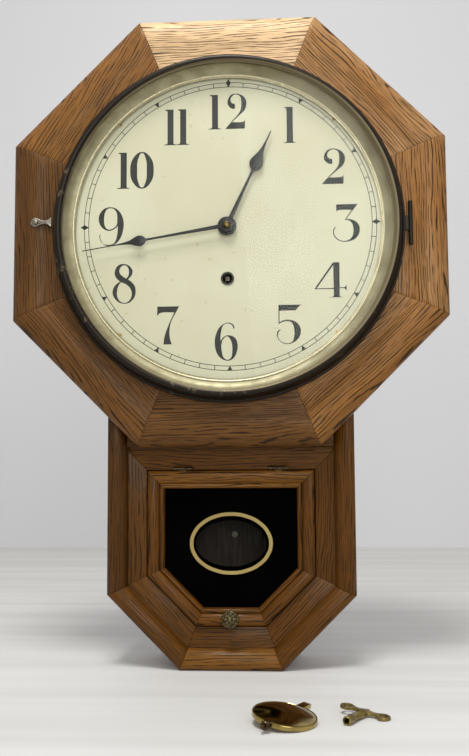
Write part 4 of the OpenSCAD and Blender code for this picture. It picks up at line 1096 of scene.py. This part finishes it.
# Table, wall and light: a pale table top in front of a pale wall that can be seen from its front
# alone. A soft lamp stands high in front of the clock, a broader and weaker one near the camera,
# and the room gives an even light.
pale = Finish("table top")
boards = pale.noise(pale.spot(), (1.5, 26, 1), 3)
colour = boards.step(0.25, 0.8).mix(paint(214, 213, 210), paint(201, 199, 196))
table_white = pale.surface(colour, 0.55, pale.relief(boards, 0.0005))
room = Finish("wall")
wash = room.noise(room.spot(), 2, 2)
white = wash.mix(paint(216, 216, 218), paint(208, 208, 209))
seen = room.node("ShaderNodeBsdfDiffuse", {}, {"Color": white})
behind = room.node("ShaderNodeNewGeometry", out=6)
gone = room.node("ShaderNodeBsdfTransparent")
wall_white = room.close(room.node("ShaderNodeMixShader", {}, {0: behind, 1: seen, 2: gone}))
wall_at = 1.155
half = 3.5
for name, finish, turn, at in (("table", table_white, 0, (0, wall_at - half, 0)),
                               ("wall", wall_white, math.pi / 2, (0, wall_at, half))):
    bm = bmesh.new()
    bmesh.ops.create_grid(bm, x_segments=1, y_segments=1, size=half)
    bm.transform(Matrix.Translation(at) @ Matrix.Rotation(turn, 4, "X"))
    mesh = mesh_of(name, bm)
    mesh.materials.append(finish)
    obj = shown(name, mesh)
    obj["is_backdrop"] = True

world = bpy.data.worlds.new("room")
world.use_nodes = True
daylight = world.node_tree.nodes["Background"].inputs
daylight["Color"].default_value = (1.0, 0.99, 0.975, 1)
daylight["Strength"].default_value = 0.58
bpy.context.scene.world = world


def lamp(name, at, target, size, power):
    """A square lamp that is turned to a place."""
    light = bpy.data.lights.new(name, "AREA")
    light.size = size
    light.energy = power
    holder = shown(name, light)
    holder.location = at
    holder.rotation_euler = (Vector(target) - Vector(at)).to_track_quat("-Z", "Y").to_euler()


lamp("high_lamp", (-0.1, -0.72, 1.72), (0, 0, 0.42), 0.5, 22)
lamp("front_lamp", (0.5, -2.2, 0.9), (0, 0, 0.3), 1.2, 17)

# Camera: it stands about a metre from the wall and lower than the dial, and looks slightly up. Its
# place and its lens were fitted to the octagon's corners and to the rings of the dial.
focal = 900
picture_h = 756
sensor = 36
eye_at = Vector((0.0589, wall_y - 0.975, dial_z * MM - 0.2263))
yaw = math.radians(-3.44)
pitch = math.radians(4.94)
tilt = math.radians(0.34)
ahead = Vector((math.sin(yaw) * math.cos(pitch), math.cos(yaw) * math.cos(pitch), math.sin(pitch)))
level = Vector((math.cos(yaw), -math.sin(yaw), 0))
down = ahead.cross(level)
right = math.cos(tilt) * level + math.sin(tilt) * down
up = math.sin(tilt) * level - math.cos(tilt) * down
camera = bpy.data.cameras.new("camera")
camera.lens = focal / picture_h * sensor
holder = shown("camera", camera)
turned = Matrix((right, up, -ahead)).transposed().to_4x4()
holder.matrix_world = Matrix.Translation(eye_at) @ turned
bpy.context.scene.camera = holder
bpy.context.scene.view_settings.view_transform = "Standard"

sizes = {"cad": [list(p) for p in cad_box], "visual": [list(p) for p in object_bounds()]}
